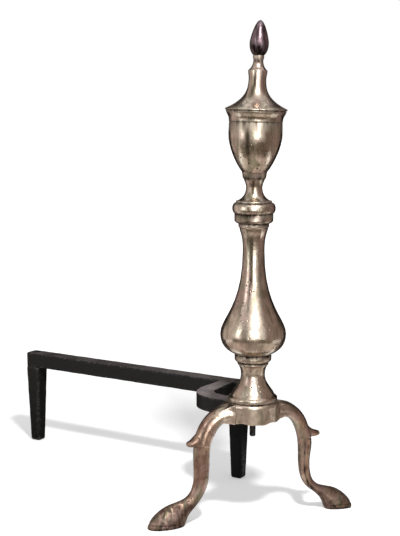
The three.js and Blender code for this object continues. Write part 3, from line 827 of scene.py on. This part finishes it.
class ANDIRON_OT_urn(bpy.types.Operator):
    """Turn the urn: its stem, its bowl, its rim and its lid with the spire"""

    bl_idname = "andiron.urn"
    bl_label = "Urn"

    def execute(self, context):
        head = head_of("stem")
        stem = Outline(18, 0)
        stem.lines((18, 2), (16.4, 2))
        stem.bend(8.2, 15.5, (0.63, 0.2), (0, 0.48))
        stem.bend(11.3, head, (0, 0.21), (0.48, 0.24))
        stem.bore(head)
        column_piece(
            "waisted_stem", "urn_stem", stem, "stem", streaks=((-6, 8, 0.3, 0.95, 1.0),)
        )

        head = head_of("bowl")
        bowl = Outline(11.7, 0)
        bowl.lines((12.6, 6.2))
        bowl.bend(26.9, 44, (0.12, 0.04), (0, 0.47))
        bowl.lines((26.6, head))
        bowl.bore(head)
        # The wide streak at 24 degrees paints the reflection of the dark floor in front of the
        # bowl.
        column_piece(
            "egg_bowl", "urn_bowl", bowl, "bowl",
            streaks=(
                (-17, 5, 0.25, 0.95, 0.9), (9, 3, 0.12, 0.35, 0.6), (-52, 5, 0.2, 0.8, 0.3),
                (24, 14, 0.34, 0.9, 0.45),
            ),
        )

        head = head_of("rim")
        rim = Outline(26.8, 0)
        rim.bend(30.2, head, (0, 0.6), (0.36, 0.45))
        rim.bore(head)
        column_piece("flared_rim", "urn_rim", rim, "rim")

        head = head_of("lid")
        lid = Outline(30.2, 0)
        lid.lines((31, 0.9), (31, 1.8))
        lid.bend(8.7, 32, (0.92, 0.31), (0, 0.38))
        lid.lines((9.5, 37.6), (9.5, 39.5))
        lid.bend(4.9, 49.5, (0.5, 0.16), (0, 0.48))
        lid.lines((5.6, head - 2.2), (5.6, head))
        lid.bore(head)
        piece = column_piece(
            "spired_lid", "urn_lid", lid, "lid",
            streaks=(
                (-24, 14, 0.2, 0.68, 0.9), (-70, 16, 0.2, 0.68, 0.5), (48, 12, 0.3, 0.68, 0.4),
                (-160, 10, 0.3, 0.68, 0.5),
            ),
        )
        # Painted shade darkens the hollow under the bud's seat and the band under the flange.
        height = points_of(piece)[:, 2] - seat_of("lid")
        neck = 0.75 * near(height, 48.5, 2.6)
        flange = 0.5 * near(height, 36.3, 0.8)
        add_grime_and_shade(piece, np.maximum(neck, flange))
        return {"FINISHED"}


class ANDIRON_OT_bud(bpy.types.Operator):
    """Turn the bud that screws on the tie rod's top end"""

    bl_idname = "andiron.bud"
    bl_label = "Finial Bud"

    def execute(self, context):
        bud = Outline(0, 22)
        bud.lines((BRASS_BORE, 22), (BRASS_BORE, 0), (5.5, 0))
        bud.bend(9.5, 11.7, (0.9, 0.28), (0, 0.3))
        bud.bend(0, 34, (0, 0.16), (0.52, 0))
        piece = column_piece(
            "flame_bud", "finial_bud", bud, "bud", soot_and_shade=0.5, finish_name="dark_brass"
        )
        # Painted shade darkens the bud's lower half, which faces down.
        height = points_of(piece)[:, 2] - seat_of("bud")
        add_grime_and_shade(piece, 0.9 * np.clip((mm(15) - height) / mm(7), 0, 1))
        return {"FINISHED"}


# -------------------------------------------------------------------------------------------------
# The hub and the legs
# -------------------------------------------------------------------------------------------------


class ANDIRON_OT_hub(bpy.types.Operator):
    """Cast the hub: a round cap with a skirt, open at the back for the bar's arm"""

    bl_idname = "andiron.hub"
    bl_label = "Leg Hub"

    def execute(self, context):
        sizes = context.scene.andiron_legs
        top = context.scene.andiron_column.arch
        bar_top = context.scene.andiron_iron.bar_top
        foot = top - sizes.hub_skirt
        roof = top - mm(5)
        hub = cylinder("cast_hub", sizes.hub_radius, foot, top, 128)
        edit_all(hub)
        bpy.ops.mesh.select_all(action="DESELECT")
        leave_edit()
        for edge in hub.data.edges:
            ends = [hub.data.vertices[index].co for index in edge.vertices]
            edge.select = all(abs(end.z - top) < 1e-5 for end in ends)
        bpy.ops.object.mode_set(mode="EDIT")
        bpy.ops.mesh.select_mode(type="EDGE")
        bpy.ops.mesh.bevel(offset=mm(3), segments=5)
        bpy.ops.mesh.select_mode(type="VERT")
        leave_edit()
        for side in (-1, 1):
            cut_plane(hub, (side * sizes.hub_half_width, 0, 0), (side, 0, 0))
        cavity = cylinder("cavity", 1, foot - mm(1), roof)
        cavity.scale = (sizes.hub_half_width - mm(6), sizes.hub_radius - mm(4), 1)
        place_in_mesh(cavity)
        combine(hub, cavity, "DIFFERENCE")
        # The cavity opens at the back as a fan, just as wide as the arm sweeps.
        sweep = Matrix.Rotation(-math.radians(42), 2)
        arm_half = mm(10.3)
        close = sweep @ Vector((arm_half, 0))
        far = sweep @ Vector((arm_half, 2 * sizes.hub_radius))
        corners = [(close.x, close.y), (far.x, far.y), (-far.x, far.y), (-close.x, close.y)]
        combine(hub, plate("fan", corners, foot - mm(1), roof), "DIFFERENCE")
        boss = cylinder("boss", mm(11), bar_top + mm(0.2), top - mm(3))
        combine(hub, boss, "UNION")
        bore = cylinder("bore", mm(BRASS_BORE), foot - mm(10), top + mm(10), 48)
        combine(hub, bore, "DIFFERENCE")
        melt(hub, mm(0.55), 2)

        # The skirt's lower edge was filed by eye and isn't quite level.
        at = points_of(hub)
        angle = np.arctan2(at[:, 1], at[:, 0])
        near_foot = np.clip((foot + mm(5) - at[:, 2]) / mm(5), 0, 1)
        wave = mm(0.6) * np.sin(5 * angle + 0.8) + mm(0.4) * np.sin(11 * angle + 2)
        at[:, 2] += near_foot * wave
        # At the front, where no arm swings, the hub is filed to run on into the legs.
        skin = np.clip((np.hypot(at[:, 0], at[:, 1]) - mm(24.5)) / mm(1.5), 0, 1)
        beside_leg = np.clip((np.abs(at[:, 0]) - mm(21.5)) / mm(2.5), 0, 1) ** 2
        at[:, 1] *= 1 + 0.116 * skin * beside_leg * (at[:, 1] < 0)
        set_points(hub, at)
        surface_marks(hub, 4)
        # Painted shade darkens the hub's top where the pedestal's drum stands on it.
        under_drum = np.hypot(at[:, 0], at[:, 1]) < mm(25.6)
        add_grime_and_shade(hub, 0.8 * near(at[:, 2], top * 1000, 0.8) * under_drum)
        move_mesh(hub, AXIS)
        finish_piece(hub, "filed_brass", "brass_front", "leg_hub")
        return {"FINISHED"}


def through(points, share):
    """A point on the smooth curve through a list of points, evenly shared between them."""
    stretch = min(int(share * (len(points) - 1)), len(points) - 2)
    along = share * (len(points) - 1) - stretch
    first = points[stretch]
    second = points[stretch + 1]
    before = points[stretch - 1] if stretch > 0 else 2 * first - second
    after = points[stretch + 2] if stretch + 2 < len(points) else 2 * second - first
    gaps = [max(mm(0.1), (b - a).length) ** 0.5 for a, b in
            ((before, first), (first, second), (second, after))]
    leaving = (first - before) / gaps[0] - (second - before) / (gaps[0] + gaps[1])
    leaving = (leaving + (second - first) / gaps[1]) * gaps[1]
    arriving = (second - first) / gaps[1] - (after - first) / (gaps[1] + gaps[2])
    arriving = (arriving + (after - second) / gaps[2]) * gaps[1]
    square = 3 * (second - first) - 2 * leaving - arriving
    cube = 2 * (first - second) + leaving + arriving
    return first + leaving * along + square * along ** 2 + cube * along ** 3


def loft(name, stations, steps, ridge):
    """Extrude a rounded section station by station between an outer and an inner edge.

    Each station is [outer x, z], [inner x, z] and its half depth, in millimetres."""
    outer = [Vector((mm(x), 0, mm(z))) for (x, z), _, _ in stations]
    inner = [Vector((mm(x), 0, mm(z))) for _, (x, z), _ in stations]
    depths = [Vector((index * mm(10), 0, mm(depth))) for index, (_, _, depth) in
              enumerate(stations)]
    # The skin is pulled in a little where it is subdivided, so the section starts wider.
    swell = 1 / (2 / 3 + math.cos(2 * math.pi / LEG_SIDES) / 3)
    piece = add(
        name, bpy.ops.mesh.primitive_circle_add, vertices=LEG_SIDES, radius=1, fill_type="NGON"
    )
    for index, vertex in enumerate(piece.data.vertices):
        angle = 2 * math.pi * index / LEG_SIDES
        deep = math.sin(angle)
        crest = ridge / stations[0][2] * math.copysign(abs(deep) ** 8, deep)
        vertex.co = (math.cos(angle) * swell, (deep + crest) * swell, 0)
    edit_all(piece)
    here = Vector()
    turned = 0.0
    width = 1.0
    depth = 1.0
    for step in range(steps + 1):
        share = step / steps
        out = through(outer, share)
        into = through(inner, share)
        middle = (out + into) / 2
        half = (out - into) / 2
        new_turned = math.atan2(-half.z, half.x)
        new_width = half.length
        new_depth = through(depths, share).z
        if step > 0:
            bpy.ops.mesh.extrude_region_move(TRANSFORM_OT_translate={"value": middle - here})
        else:
            bpy.ops.transform.translate(value=middle - here)
        # Without a window the operator turns the other way, so the angles change sign.
        bpy.ops.transform.rotate(value=turned, orient_axis="Y", center_override=middle)
        bpy.ops.transform.resize(
            value=(new_width / width, new_depth / depth, 1), center_override=middle
        )
        bpy.ops.transform.rotate(value=-new_turned, orient_axis="Y", center_override=middle)
        here = middle
        turned = new_turned
        width = new_width
        depth = new_depth
    bpy.ops.mesh.select_all(action="SELECT")
    bpy.ops.mesh.normals_make_consistent(inside=False)
    leave_edit()
    apply_modifier(piece, "SUBSURF", levels=1, render_levels=1)
    return piece


def cabriole_leg(name, root_height, thickness, swell, spur_reach, spur_drop, heel):
    """A leg that points along +X from the column's axis, with its spur and its pad foot.

    All sizes are in millimetres. The swell stands out just below the spur."""
    root_top = 122.8
    root_foot = root_top - root_height
    shank_in = 64.4 - thickness
    stations = [
        [[21, root_top], [21, root_foot], LEG_ROOT_HALF],
        [[25, root_top], [25, root_foot], 11.9],
        [[38, root_top - 2.4], [32, root_foot - 0.2], 10.1],
        [[50, root_top - 10.4], [shank_in - 10.4, root_foot - 4.2], 9],
        [[58, root_top - 20.6], [shank_in - 5.2, root_foot - 12.4], 8.5],
        [[62.5, 90], [shank_in - 1.8, 83], 7.9],
        [[64.4 + swell, 75], [shank_in - 0.4, 72], 7],
        [[64.1, 58], [shank_in, 55.5], 6.6],
        [[64.4, 45], [shank_in + 1.8, 40.5], 6.2],
        [[67.5, 34.5], [shank_in + 7.4, 28.5], 5.6],
        [[73.5, 28.2], [heel - 13.2, 19.8], 5.6],
        [[82.5, 25], [heel - 4.6, 10.5], 7.2],
        [[93, 22], [heel + 1.5, -2.5], 9.3],
        [[102, 16.6], [heel + 13, -5], 10.5],
        [[109.3, 9.4], [heel + 26, -5], 8.5],
        [[114, 1.6], [110, -5], 3.5],
    ]
    leg = loft(name, stations, 3 * (len(stations) - 1), 1.6)
    # The root is filed square and level with the hub's top, to run on from the hub.
    root = block(
        "root", (mm(23), -mm(LEG_ROOT_HALF), mm(root_foot - 0.3)),
        (mm(40), mm(LEG_ROOT_HALF), mm(124.3)),
    )
    for vertex in root.data.vertices:
        if vertex.co.x > mm(30):
            vertex.co.y *= 0.5
            vertex.co.z = mm(root_top - 6) if vertex.co.z > mm(115) else mm(root_foot + 1.5)
    combine(leg, root, "UNION")
    knee = 62.5
    ledge = 90 - spur_drop
    spur_stations = [
        [[56, 101], [53, ledge - 1], 6],
        [[knee + 0.8, ledge + 9.6], [knee + 0.8, ledge - 0.4], 5],
        [[knee + 0.55 * spur_reach, ledge + 5.6], [knee + 0.55 * spur_reach, ledge], 4],
        [[knee + spur_reach, ledge + 4], [knee + spur_reach, ledge + 0.8], 2.4],
    ]
    combine(leg, loft("spur", spur_stations, 9, 0), "UNION")
    melt(leg, mm(0.7), 3)
    cut_plane(leg, (mm(LEG_JOINT + 0.15), 0, 0), (-1, 0, 0))
    cut_plane(leg, (0, 0, 0), (0, 0, -1))

    # The knee ends in a ledge that runs on from the spur across the front and the back.
    at = points_of(leg)
    sizes = bpy.context.scene.andiron_legs
    normals = normals_of(leg)
    above = (at[:, 2] - mm(ledge)) * 1000
    proud = np.clip(above / 0.8 + 0.5, 0, 1) * np.clip(1 - above / 15, 0, 1)
    proud = proud * np.clip((at[:, 0] - mm(shank_in + 3)) / mm(4), 0, 1)
    at = at + normals * (sizes.knee_ledge * proud)[:, None]

    # A crease runs round the foot above its thin pad.
    in_foot = np.clip((at[:, 0] - mm(80)) / mm(8), 0, 1) * (at[:, 2] > mm(1.5))
    groove = sizes.foot_crease * near(at[:, 2], 4.8, 0.9) * in_foot
    normals[:, 2] = 0
    set_points(leg, at - normals * groove[:, None])
    return leg


class ANDIRON_OT_legs(bpy.types.Operator):
    """Cast the two cabriole legs, each at its own thickness"""

    bl_idname = "andiron.legs"
    bl_label = "Cabriole Legs"

    def execute(self, context):
        sizes = context.scene.andiron_legs
        right = cabriole_leg(
            "cabriole_right", 17.5, sizes.right_thickness * 1000, 1.8, sizes.right_spur * 1000, 9,
            sizes.right_heel * 1000,
        )
        left = cabriole_leg(
            "cabriole_left", 19, sizes.left_thickness * 1000, 0, sizes.left_spur * 1000, 7.8,
            sizes.left_heel * 1000,
        )
        edit_all(left)
        bpy.ops.transform.rotate(value=math.pi, orient_axis="Z", center_override=(0, 0, 0))
        leave_edit()
        for leg, node in ((right, "right_leg"), (left, "left_leg")):
            at = points_of(leg)
            aside = np.abs(at[:, 0])
            # In front, the root is filed to run on from the hub. Behind, it is filed back a
            # little, so that the arm can swing past it.
            beside_hub = np.clip((mm(30) - aside) / mm(6), 0, 1) ** 2
            at[:, 1] *= 1 + 0.12 * beside_hub * (at[:, 1] < 0)
            root = np.clip((mm(44) - aside) / mm(10), 0, 1)
            at[:, 1] *= 1 - 0.06 * root * (at[:, 1] > 0)
            set_points(leg, at)
            surface_marks(leg, 5)
            # The feet are darker towards the bottom, the joint with the hub is a little darker, and
            # painted shade runs along the sole where it meets the floor.
            low_on_leg = np.clip((mm(44) - at[:, 2]) / mm(26), 0, 1)
            joint = near(aside, LEG_JOINT, 0.8)
            add_grime_and_shade(leg, 0.12 * joint + 0.6 * near(at[:, 2], 0, 1.6) + 0.58 * low_on_leg)
            if leg is right:
                self.paint_shank_shade(leg, at[:, 2])
            store(leg, "root", np.clip((mm(50) - aside) / mm(18), 0, 1))
            move_mesh(leg, AXIS)
            finish_piece(leg, "cast_brass", "brass_front", node)
        return {"FINISHED"}

    def paint_shank_shade(self, leg, height):
        """Put a dark line beside the worn ridge of a shank, and soot on its inner face."""
        facing = normals_of(leg)[:, 0]
        shank = np.clip((height - mm(22)) / mm(10), 0, 1)
        shank = shank * np.clip((mm(84) - height) / mm(10), 0, 1)
        shade_line = 0.95 * np.exp(-((facing + 0.45) / 0.15) ** 2)
        add_grime_and_shade(leg, shank * np.maximum(shade_line, 0.55 * (facing < -0.86)))


# -------------------------------------------------------------------------------------------------
# The ironwork
# -------------------------------------------------------------------------------------------------


def swing_to_rest(piece):
    """Turn a piece of the bar, drawn square to the arch, to where it stands."""
    piece.data.transform(Matrix.Rotation(REST_SWING, 4, "Z"))
    move_mesh(piece, AXIS)


class ANDIRON_OT_rod(bpy.types.Operator):
    """Make the tie rod, with its threaded tail, and the washer and square nut on it"""

    bl_idname = "andiron.rod"
    bl_label = "Tie Rod"

    def execute(self, context):
        sizes = context.scene.andiron_iron
        radius = sizes.rod_radius * 1000
        eye_foot = sizes.bar_top * 1000 - 6
        washer_foot = eye_foot - 1.4
        nut_foot = washer_foot - 4.65
        tail = nut_foot - 14
        head = seat_of("bud") * 1000 + 21
        rod = Outline(0, tail)
        rod.lines((radius - 0.9, tail))
        thread = 1.3
        height = tail + 0.5
        while height < washer_foot - thread:
            rod.lines((radius, height + 0.4 * thread), (radius - 0.45, height + thread))
            height += thread
        rod.lines((radius, height + thread))
        lean_foot = seat_of("collar_ring") * 1000
        for step in range(9):
            rod.lines((radius, lean_foot + (head - 0.6 - lean_foot) * step / 8))
        rod.lines((radius - 0.6, head), (0, head))
        piece = turn("iron_rod", rod)
        surface_marks(piece, 1)
        lean_piece(piece)

        disc = Outline(BRASS_BORE, washer_foot)
        disc.lines((8, washer_foot), (8, washer_foot + 1.2), (BRASS_BORE, washer_foot + 1.2))
        disc.close()
        washer = turn("iron_washer", disc)
        apply_modifier(washer, "BEVEL", width=mm(0.25), segments=2)
        surface_marks(washer, 1)

        half = mm(6.5)
        nut = block(
            "square_nut", (-half, -half, mm(nut_foot)), (half, half, mm(nut_foot + 4.5))
        )
        hole = cylinder("hole", mm(BRASS_BORE), mm(nut_foot - 2), mm(nut_foot + 8), 48)
        combine(nut, hole, "DIFFERENCE")
        apply_modifier(nut, "BEVEL", width=mm(0.5), segments=3, limit_method="ANGLE")
        surface_marks(nut, 1)

        for each, node in ((piece, "tie_rod"), (washer, "washer"), (nut, "clamp_nut")):
            move_mesh(each, AXIS)
            finish_piece(each, "forged_iron", "brass_front", node)
        return {"FINISHED"}


def arm_outline():
    """The arm in plan, in metres: a ribbon that leaves the eye at a slant and turns to the bar."""
    side = 33
    back = 90
    turn_size = 32
    path = [Vector((0, 0)), Vector((side * 0.6, side * 0.74))]

    def curve(corner, end, count=12):
        start = path[-1]
        for step in range(1, count + 1):
            share = step / count
            path.append(
                start * (1 - share) ** 2 + corner * 2 * share * (1 - share) + end * share ** 2
            )

    curve(Vector((side, side * 1.24)), Vector((side, back - turn_size - 2)))
    curve(Vector((side, back)), Vector((side + turn_size, back)))
    path.append(Vector((BAR_ASIDE, back)))
    lengths = [0.0]
    for a, b in zip(path, path[1:]):
        lengths.append(lengths[-1] + (b - a).length)
    left = []
    right = []
    steps = 48
    for step in range(steps + 1):
        goal = lengths[-1] * step / steps
        stretch = max(index for index, run in enumerate(lengths[:-1]) if run <= goal + 1e-9)
        share = (goal - lengths[stretch]) / (lengths[stretch + 1] - lengths[stretch])
        middle = path[stretch].lerp(path[stretch + 1], share)
        before = path[max(0, stretch - 1)]
        after = path[min(len(path) - 1, stretch + 2)]
        along = (after - before).normalized()
        # The arm is 20 mm wide, and eases to 16.5 mm where it meets the bar.
        eased = min(1, max(0, (step / steps - 0.6) / 0.4))
        half = (20 - 3.5 * eased * eased * (3 - 2 * eased)) / 2
        across = Vector((-along.y, along.x)) * half
        left.append(middle + across)
        right.append(middle - across)
    return [(mm(point.x), mm(point.y)) for point in right + left[::-1]]


class ANDIRON_OT_log_bar(bpy.types.Operator):
    """Forge the log bar with its swan-neck arm and eye"""

    bl_idname = "andiron.log_bar"
    bl_label = "Log Bar"

    def execute(self, context):
        sizes = context.scene.andiron_iron
        top = sizes.bar_top
        half = sizes.bar_side / 2
        aside = mm(BAR_ASIDE)
        front = mm(FRONT_LEG_BACK)
        bar = block(
            "forged_bar",
            (aside - half, front - half, top - sizes.bar_side),
            (aside + half, front + sizes.log_span + half, top),
        )
        apply_modifier(bar, "BEVEL", width=mm(1.3), segments=2, limit_method="ANGLE")
        arm_foot = top - mm(ARM_DEPTH)
        combine(bar, plate("arm", arm_outline(), arm_foot, top), "UNION")
        combine(bar, cylinder("eye", mm(11.5), arm_foot, top), "UNION")
        # Hammering the eye thin leaves a round hollow under it, with a slope up its side.
        hollow = Outline(0, 0)
        hollow.lines((20.5, 0), (19.5, 1), (11.5, 11), (0, 11))
        combine(bar, turn("hollow", hollow, arm_foot - mm(1)), "DIFFERENCE")
        combine(bar, cylinder("hole", mm(4.1), top - mm(30), top + mm(10), 48), "DIFFERENCE")
        for leg_at in (front, front + sizes.log_span):
            hole = cylinder("tenon_hole", mm(4.8), top - mm(30), top + mm(10), 48)
            move_mesh(hole, (aside, leg_at, 0))
            combine(bar, hole, "DIFFERENCE")
        melt(bar, mm(0.8), 1)
        hammer(bar, sizes.hammering, mm(14))
        surface_marks(bar, 3)
        # The arm's top is rubbed most, where the shovel and the tongs pass.
        on_arm = (aside - half - points_of(bar)[:, 0]) / mm(12)
        store(bar, "handled", 0.75 * np.clip(on_arm, 0, 1))
        swing_to_rest(bar)
        finish_piece(bar, "forged_iron", "bar", "log_bar")
        return {"FINISHED"}


class ANDIRON_OT_bar_legs(bpy.types.Operator):
    """Forge the two tapered legs that are riveted through the log bar"""

    bl_idname = "andiron.bar_legs"
    bl_label = "Bar Legs"

    def execute(self, context):
        sizes = context.scene.andiron_iron
        shoulder = sizes.bar_top - sizes.bar_side - mm(0.15)
        front = mm(FRONT_LEG_BACK)
        for name, node, leg_at, iron in (
            ("iron_leg_front", "front_bar_leg", front, "sooty_shaded_iron"),
            ("iron_leg_rear", "rear_bar_leg", front + sizes.log_span, "forged_iron"),
        ):
            half = mm(9.7)
            leg = block(name, (-half, -half, 0), (half, half, shoulder + mm(1.3)))
            taper = 13.6 / 19.4
            for vertex in leg.data.vertices:
                if vertex.co.z < mm(1):
                    vertex.co.x *= taper
                    vertex.co.y *= taper
            apply_modifier(leg, "BEVEL", width=mm(2.8), segments=4, limit_method="ANGLE",
                           angle_limit=math.radians(30))
            tenon = cylinder("tenon", mm(4.5), shoulder - mm(2), sizes.bar_top, 48)
            combine(leg, tenon, "UNION")
            melt(leg, mm(0.7), 1)
            hammer(leg, sizes.hammering, mm(11))
            surface_marks(leg, 3)
            # No log rubs the ledge at a leg's head.
            store(leg, "handled", np.full(len(leg.data.vertices), -0.4))
            move_mesh(leg, (mm(BAR_ASIDE), leg_at, 0))
            swing_to_rest(leg)
            finish_piece(leg, iron, "bar", node)
        return {"FINISHED"}


# -------------------------------------------------------------------------------------------------
# The stage
# -------------------------------------------------------------------------------------------------

# Each card: its two angles from the camera's side, the distance and height of its lower and of its
# upper edge, and its colour.
CARDS = {
    "card_back_right": (128, 168, (0.62, 0.0), (0.62, 1.1), "#14110f"),
    "card_back": (168, 192, (0.62, 0.0), (0.62, 1.1), "#b0a398"),
    "card_back_left": (192, 232, (0.62, 0.0), (0.62, 1.1), "#14110f"),
    "card_right": (42, 128, (0.62, 0.0), (0.62, 1.1), "#9c8b84"),
    "card_left": (-128, -74, (0.62, 0.0), (0.62, 1.1), "#d6c9c4"),
    "card_middle": (-40, -20, (0.62, 0.0), (0.62, 0.75), "#665a50"),
    "card_ground_back": (112, 246, (0.2, 0.002), (0.62, 0.002), "#3a302c"),
    "card_ground_near": (-114, 112, (0.05, 0.002), (0.4, 0.002), "#e4d8d0"),
    "card_ground_front": (-74, 75, (0.4, 0.002), (1.5, 0.002), "#756b58"),
}

# Each lamp: its angle, distance and height, the height that it faces, its two sides and its power.
LAMPS = {
    "key_light": (11, 0.74, 1.17, 0.2, (0.11, 0.11), 17),
    "fill_light": (-60, 2.2, 1.2, 0.2, (1.4, 1.4), 8),
    "window_glow": (6, 1.6, 0.6, 0.25, (0.74, 1.15), 12),
    "side_glow": (-56, 1.6, 0.6, 0.25, (0.36, 1.0), 3),
}


def around(degrees, distance, height):
    """A point round the column, at an angle to the right of the camera, seen from the column."""
    angle = CAMERA_SIDE + math.radians(degrees)
    return AXIS + Vector((distance * math.cos(angle), distance * math.sin(angle), height))


def rays_of(tree, *kinds):
    """1 for the rays of these kinds and 0 for all others."""
    seen = 0
    for kind in kinds:
        ray = add_node(tree, "ShaderNodeLightPath", take=kind)
        seen = add_node(tree, "ShaderNodeMath", {0: ray, 1: seen}, operation="MAXIMUM")
    return seen


class ANDIRON_OT_stage(bpy.types.Operator):
    """Set up the camera, the pale floor, the soft lights and the cards that the brass reflects"""

    bl_idname = "andiron.stage"
    bl_label = "Stage"

    def execute(self, context):
        scene = context.scene
        scene.view_settings.view_transform = "Standard"
        scene.world = self.studio_world()

        camera = add("camera", bpy.ops.object.camera_add, location=AXIS + CAMERA_FROM_AXIS)
        camera.rotation_euler = (math.radians(81.686), 0, math.radians(-19.468))
        camera.data.lens = 83.96
        camera.data.sensor_width = 36
        camera.data.clip_end = 50
        scene.camera = camera

        floor = add("floor", bpy.ops.mesh.primitive_plane_add, size=16, location=(0, 0, 0))
        floor.data.materials.append(self.pale_floor(scene.andiron_finishes.floor))

        # Cards round the object, which only its reflections show, give the brass its dark sides and
        # the dark streaks between its highlights, as the dim room round a lit table does.
        for name, (start, end, low, high, color) in CARDS.items():
            card = self.bent_card(name, start, end, low, high)
            card.data.materials.append(self.lit_card(name, color))
            card.visible_camera = False
            card.visible_diffuse = False
            card.visible_shadow = False
            card.visible_transmission = False

        for name, (angle, distance, height, faced, size, power) in LAMPS.items():
            place = around(angle, distance, height)
            lamp = add(name, bpy.ops.object.light_add, type="AREA", location=place)
            lamp.data.shape = "RECTANGLE"
            lamp.data.size = size[0]
            lamp.data.size_y = size[1]
            lamp.data.energy = power
            # The fill light faces the footprint's middle, and the others face the column.
            target = Vector((0, 0, faced)) + (Vector() if name == "fill_light" else AXIS)
            lamp.rotation_euler = (target - place).to_track_quat("-Z", "Y").to_euler()
            # The fill light gives no highlight, and the two glows give nothing else.
            lamp.visible_glossy = name != "fill_light"
            lamp.visible_diffuse = not name.endswith("_glow")
        return {"FINISHED"}

    def studio_world(self):
        """A white world whose own light on the object is dim."""
        world = bpy.data.worlds.new("studio")
        world.use_nodes = True
        tree = world.node_tree
        tree.nodes.clear()
        seen = rays_of(tree, "Is Camera Ray", "Is Glossy Ray", "Is Transmission Ray")
        strength = add_node(
            tree, "ShaderNodeMapRange", {"Value": seen, "To Min": 0.4, "To Max": 1.0}
        )
        glow = add_node(
            tree, "ShaderNodeBackground", {"Color": (1, 1, 1, 1), "Strength": strength}
        )
        add_node(tree, "ShaderNodeOutputWorld", {"Surface": glow})
        return world

    def bent_card(self, name, start, end, low, high):
        """A card bent round the column between two angles from the camera's side."""
        count = max(2, int(abs(end - start) / 6))
        rings = []
        for distance, height in (low, high):
            rings.append([around(start + (end - start) * step / count, distance, height)
                          for step in range(count + 1)])
        card = add(
            name, bpy.ops.mesh.primitive_grid_add, x_subdivisions=count, y_subdivisions=1, size=1,
            location=(0, 0, 0),
        )
        for vertex in card.data.vertices:
            column = round((vertex.co.x + 0.5) * count)
            vertex.co = rings[0 if vertex.co.y < 0 else 1][column]
        return card

    def lit_card(self, name, color):
        """An evenly lit card, as bright as its colour."""
        return surface(new_material(name + "_finish"), {
            "Base Color": (0, 0, 0, 1),
            "Specular IOR Level": 0,
            "Emission Color": opaque(linear(color)),
            "Emission Strength": 1,
        })

    def pale_floor(self, color):
        """Plain pale floor that looks white to the camera and keeps the object's shadow."""
        material = new_material("pale_floor")
        tree = material.node_tree
        # Near the object the glow is low enough for its shadow to show. Further off, where the
        # lamps hardly reach, it makes up for them.
        place = add_node(tree, "ShaderNodeTexCoord", take="Object")
        away = add_node(tree, "ShaderNodeVectorMath", {0: place}, "Value", operation="LENGTH")
        glow = add_node(
            tree, "ShaderNodeMapRange",
            {"Value": away, "From Min": 0.25, "From Max": 1.1, "To Min": 0.36, "To Max": 0.95},
            interpolation_type="SMOOTHSTEP",
        )
        seen = rays_of(tree, "Is Camera Ray", "Is Glossy Ray")
        lift = add_node(tree, "ShaderNodeMath", {0: seen, 1: glow}, operation="MULTIPLY")
        return surface(material, {
            "Base Color": opaque(color),
            "Roughness": 1.0,
            "Specular IOR Level": 0,
            "Emission Color": (1, 1, 1, 1),
            "Emission Strength": lift,
        })


# -------------------------------------------------------------------------------------------------
# Panel and registration
# -------------------------------------------------------------------------------------------------

MAKERS = (
    ANDIRON_OT_stage,
    ANDIRON_OT_pedestal,
    ANDIRON_OT_baluster,
    ANDIRON_OT_collar,
    ANDIRON_OT_urn,
    ANDIRON_OT_bud,
    ANDIRON_OT_hub,
    ANDIRON_OT_legs,
    ANDIRON_OT_rod,
    ANDIRON_OT_log_bar,
    ANDIRON_OT_bar_legs,
)

GROUPS = {
    "andiron_column": AndironColumnSizes,
    "andiron_legs": AndironLegSizes,
    "andiron_iron": AndironIronSizes,
    "andiron_finishes": AndironFinishes,
}


class ANDIRON_PT_panel(bpy.types.Panel):
    """Lists the andiron's sizes, its finishes and the operators that make its pieces"""

    bl_idname = "ANDIRON_PT_panel"
    bl_label = "Andiron"
    bl_space_type = "VIEW_3D"
    bl_region_type = "UI"
    bl_category = "Andiron"

    def draw(self, context):
        for maker in MAKERS:
            self.layout.operator(maker.bl_idname)
        for name, group in GROUPS.items():
            column = self.layout.column(heading=group.__doc__)
            for field in group.__annotations__:
                column.prop(getattr(context.scene, name), field)


def register():
    for name, group in GROUPS.items():
        bpy.utils.register_class(group)
        setattr(bpy.types.Scene, name, PointerProperty(type=group))
    for maker in MAKERS:
        bpy.utils.register_class(maker)
    bpy.utils.register_class(ANDIRON_PT_panel)


def unregister():
    bpy.utils.unregister_class(ANDIRON_PT_panel)
    for maker in reversed(MAKERS):
        bpy.utils.unregister_class(maker)
    for name, group in reversed(GROUPS.items()):
        delattr(bpy.types.Scene, name)
        bpy.utils.unregister_class(group)


def main():
    """Make the stage and every piece in order, and write both boxes."""
    register()
    bpy.ops.andiron.stage()
    bpy.ops.andiron.pedestal()
    bpy.ops.andiron.baluster()
    bpy.ops.andiron.collar()
    bpy.ops.andiron.urn()
    bpy.ops.andiron.bud()
    bpy.ops.andiron.hub()
    bpy.ops.andiron.legs()
    bpy.ops.andiron.rod()
    bpy.ops.andiron.log_bar()
    bpy.ops.andiron.bar_legs()


if __name__ == "__main__":
    main()
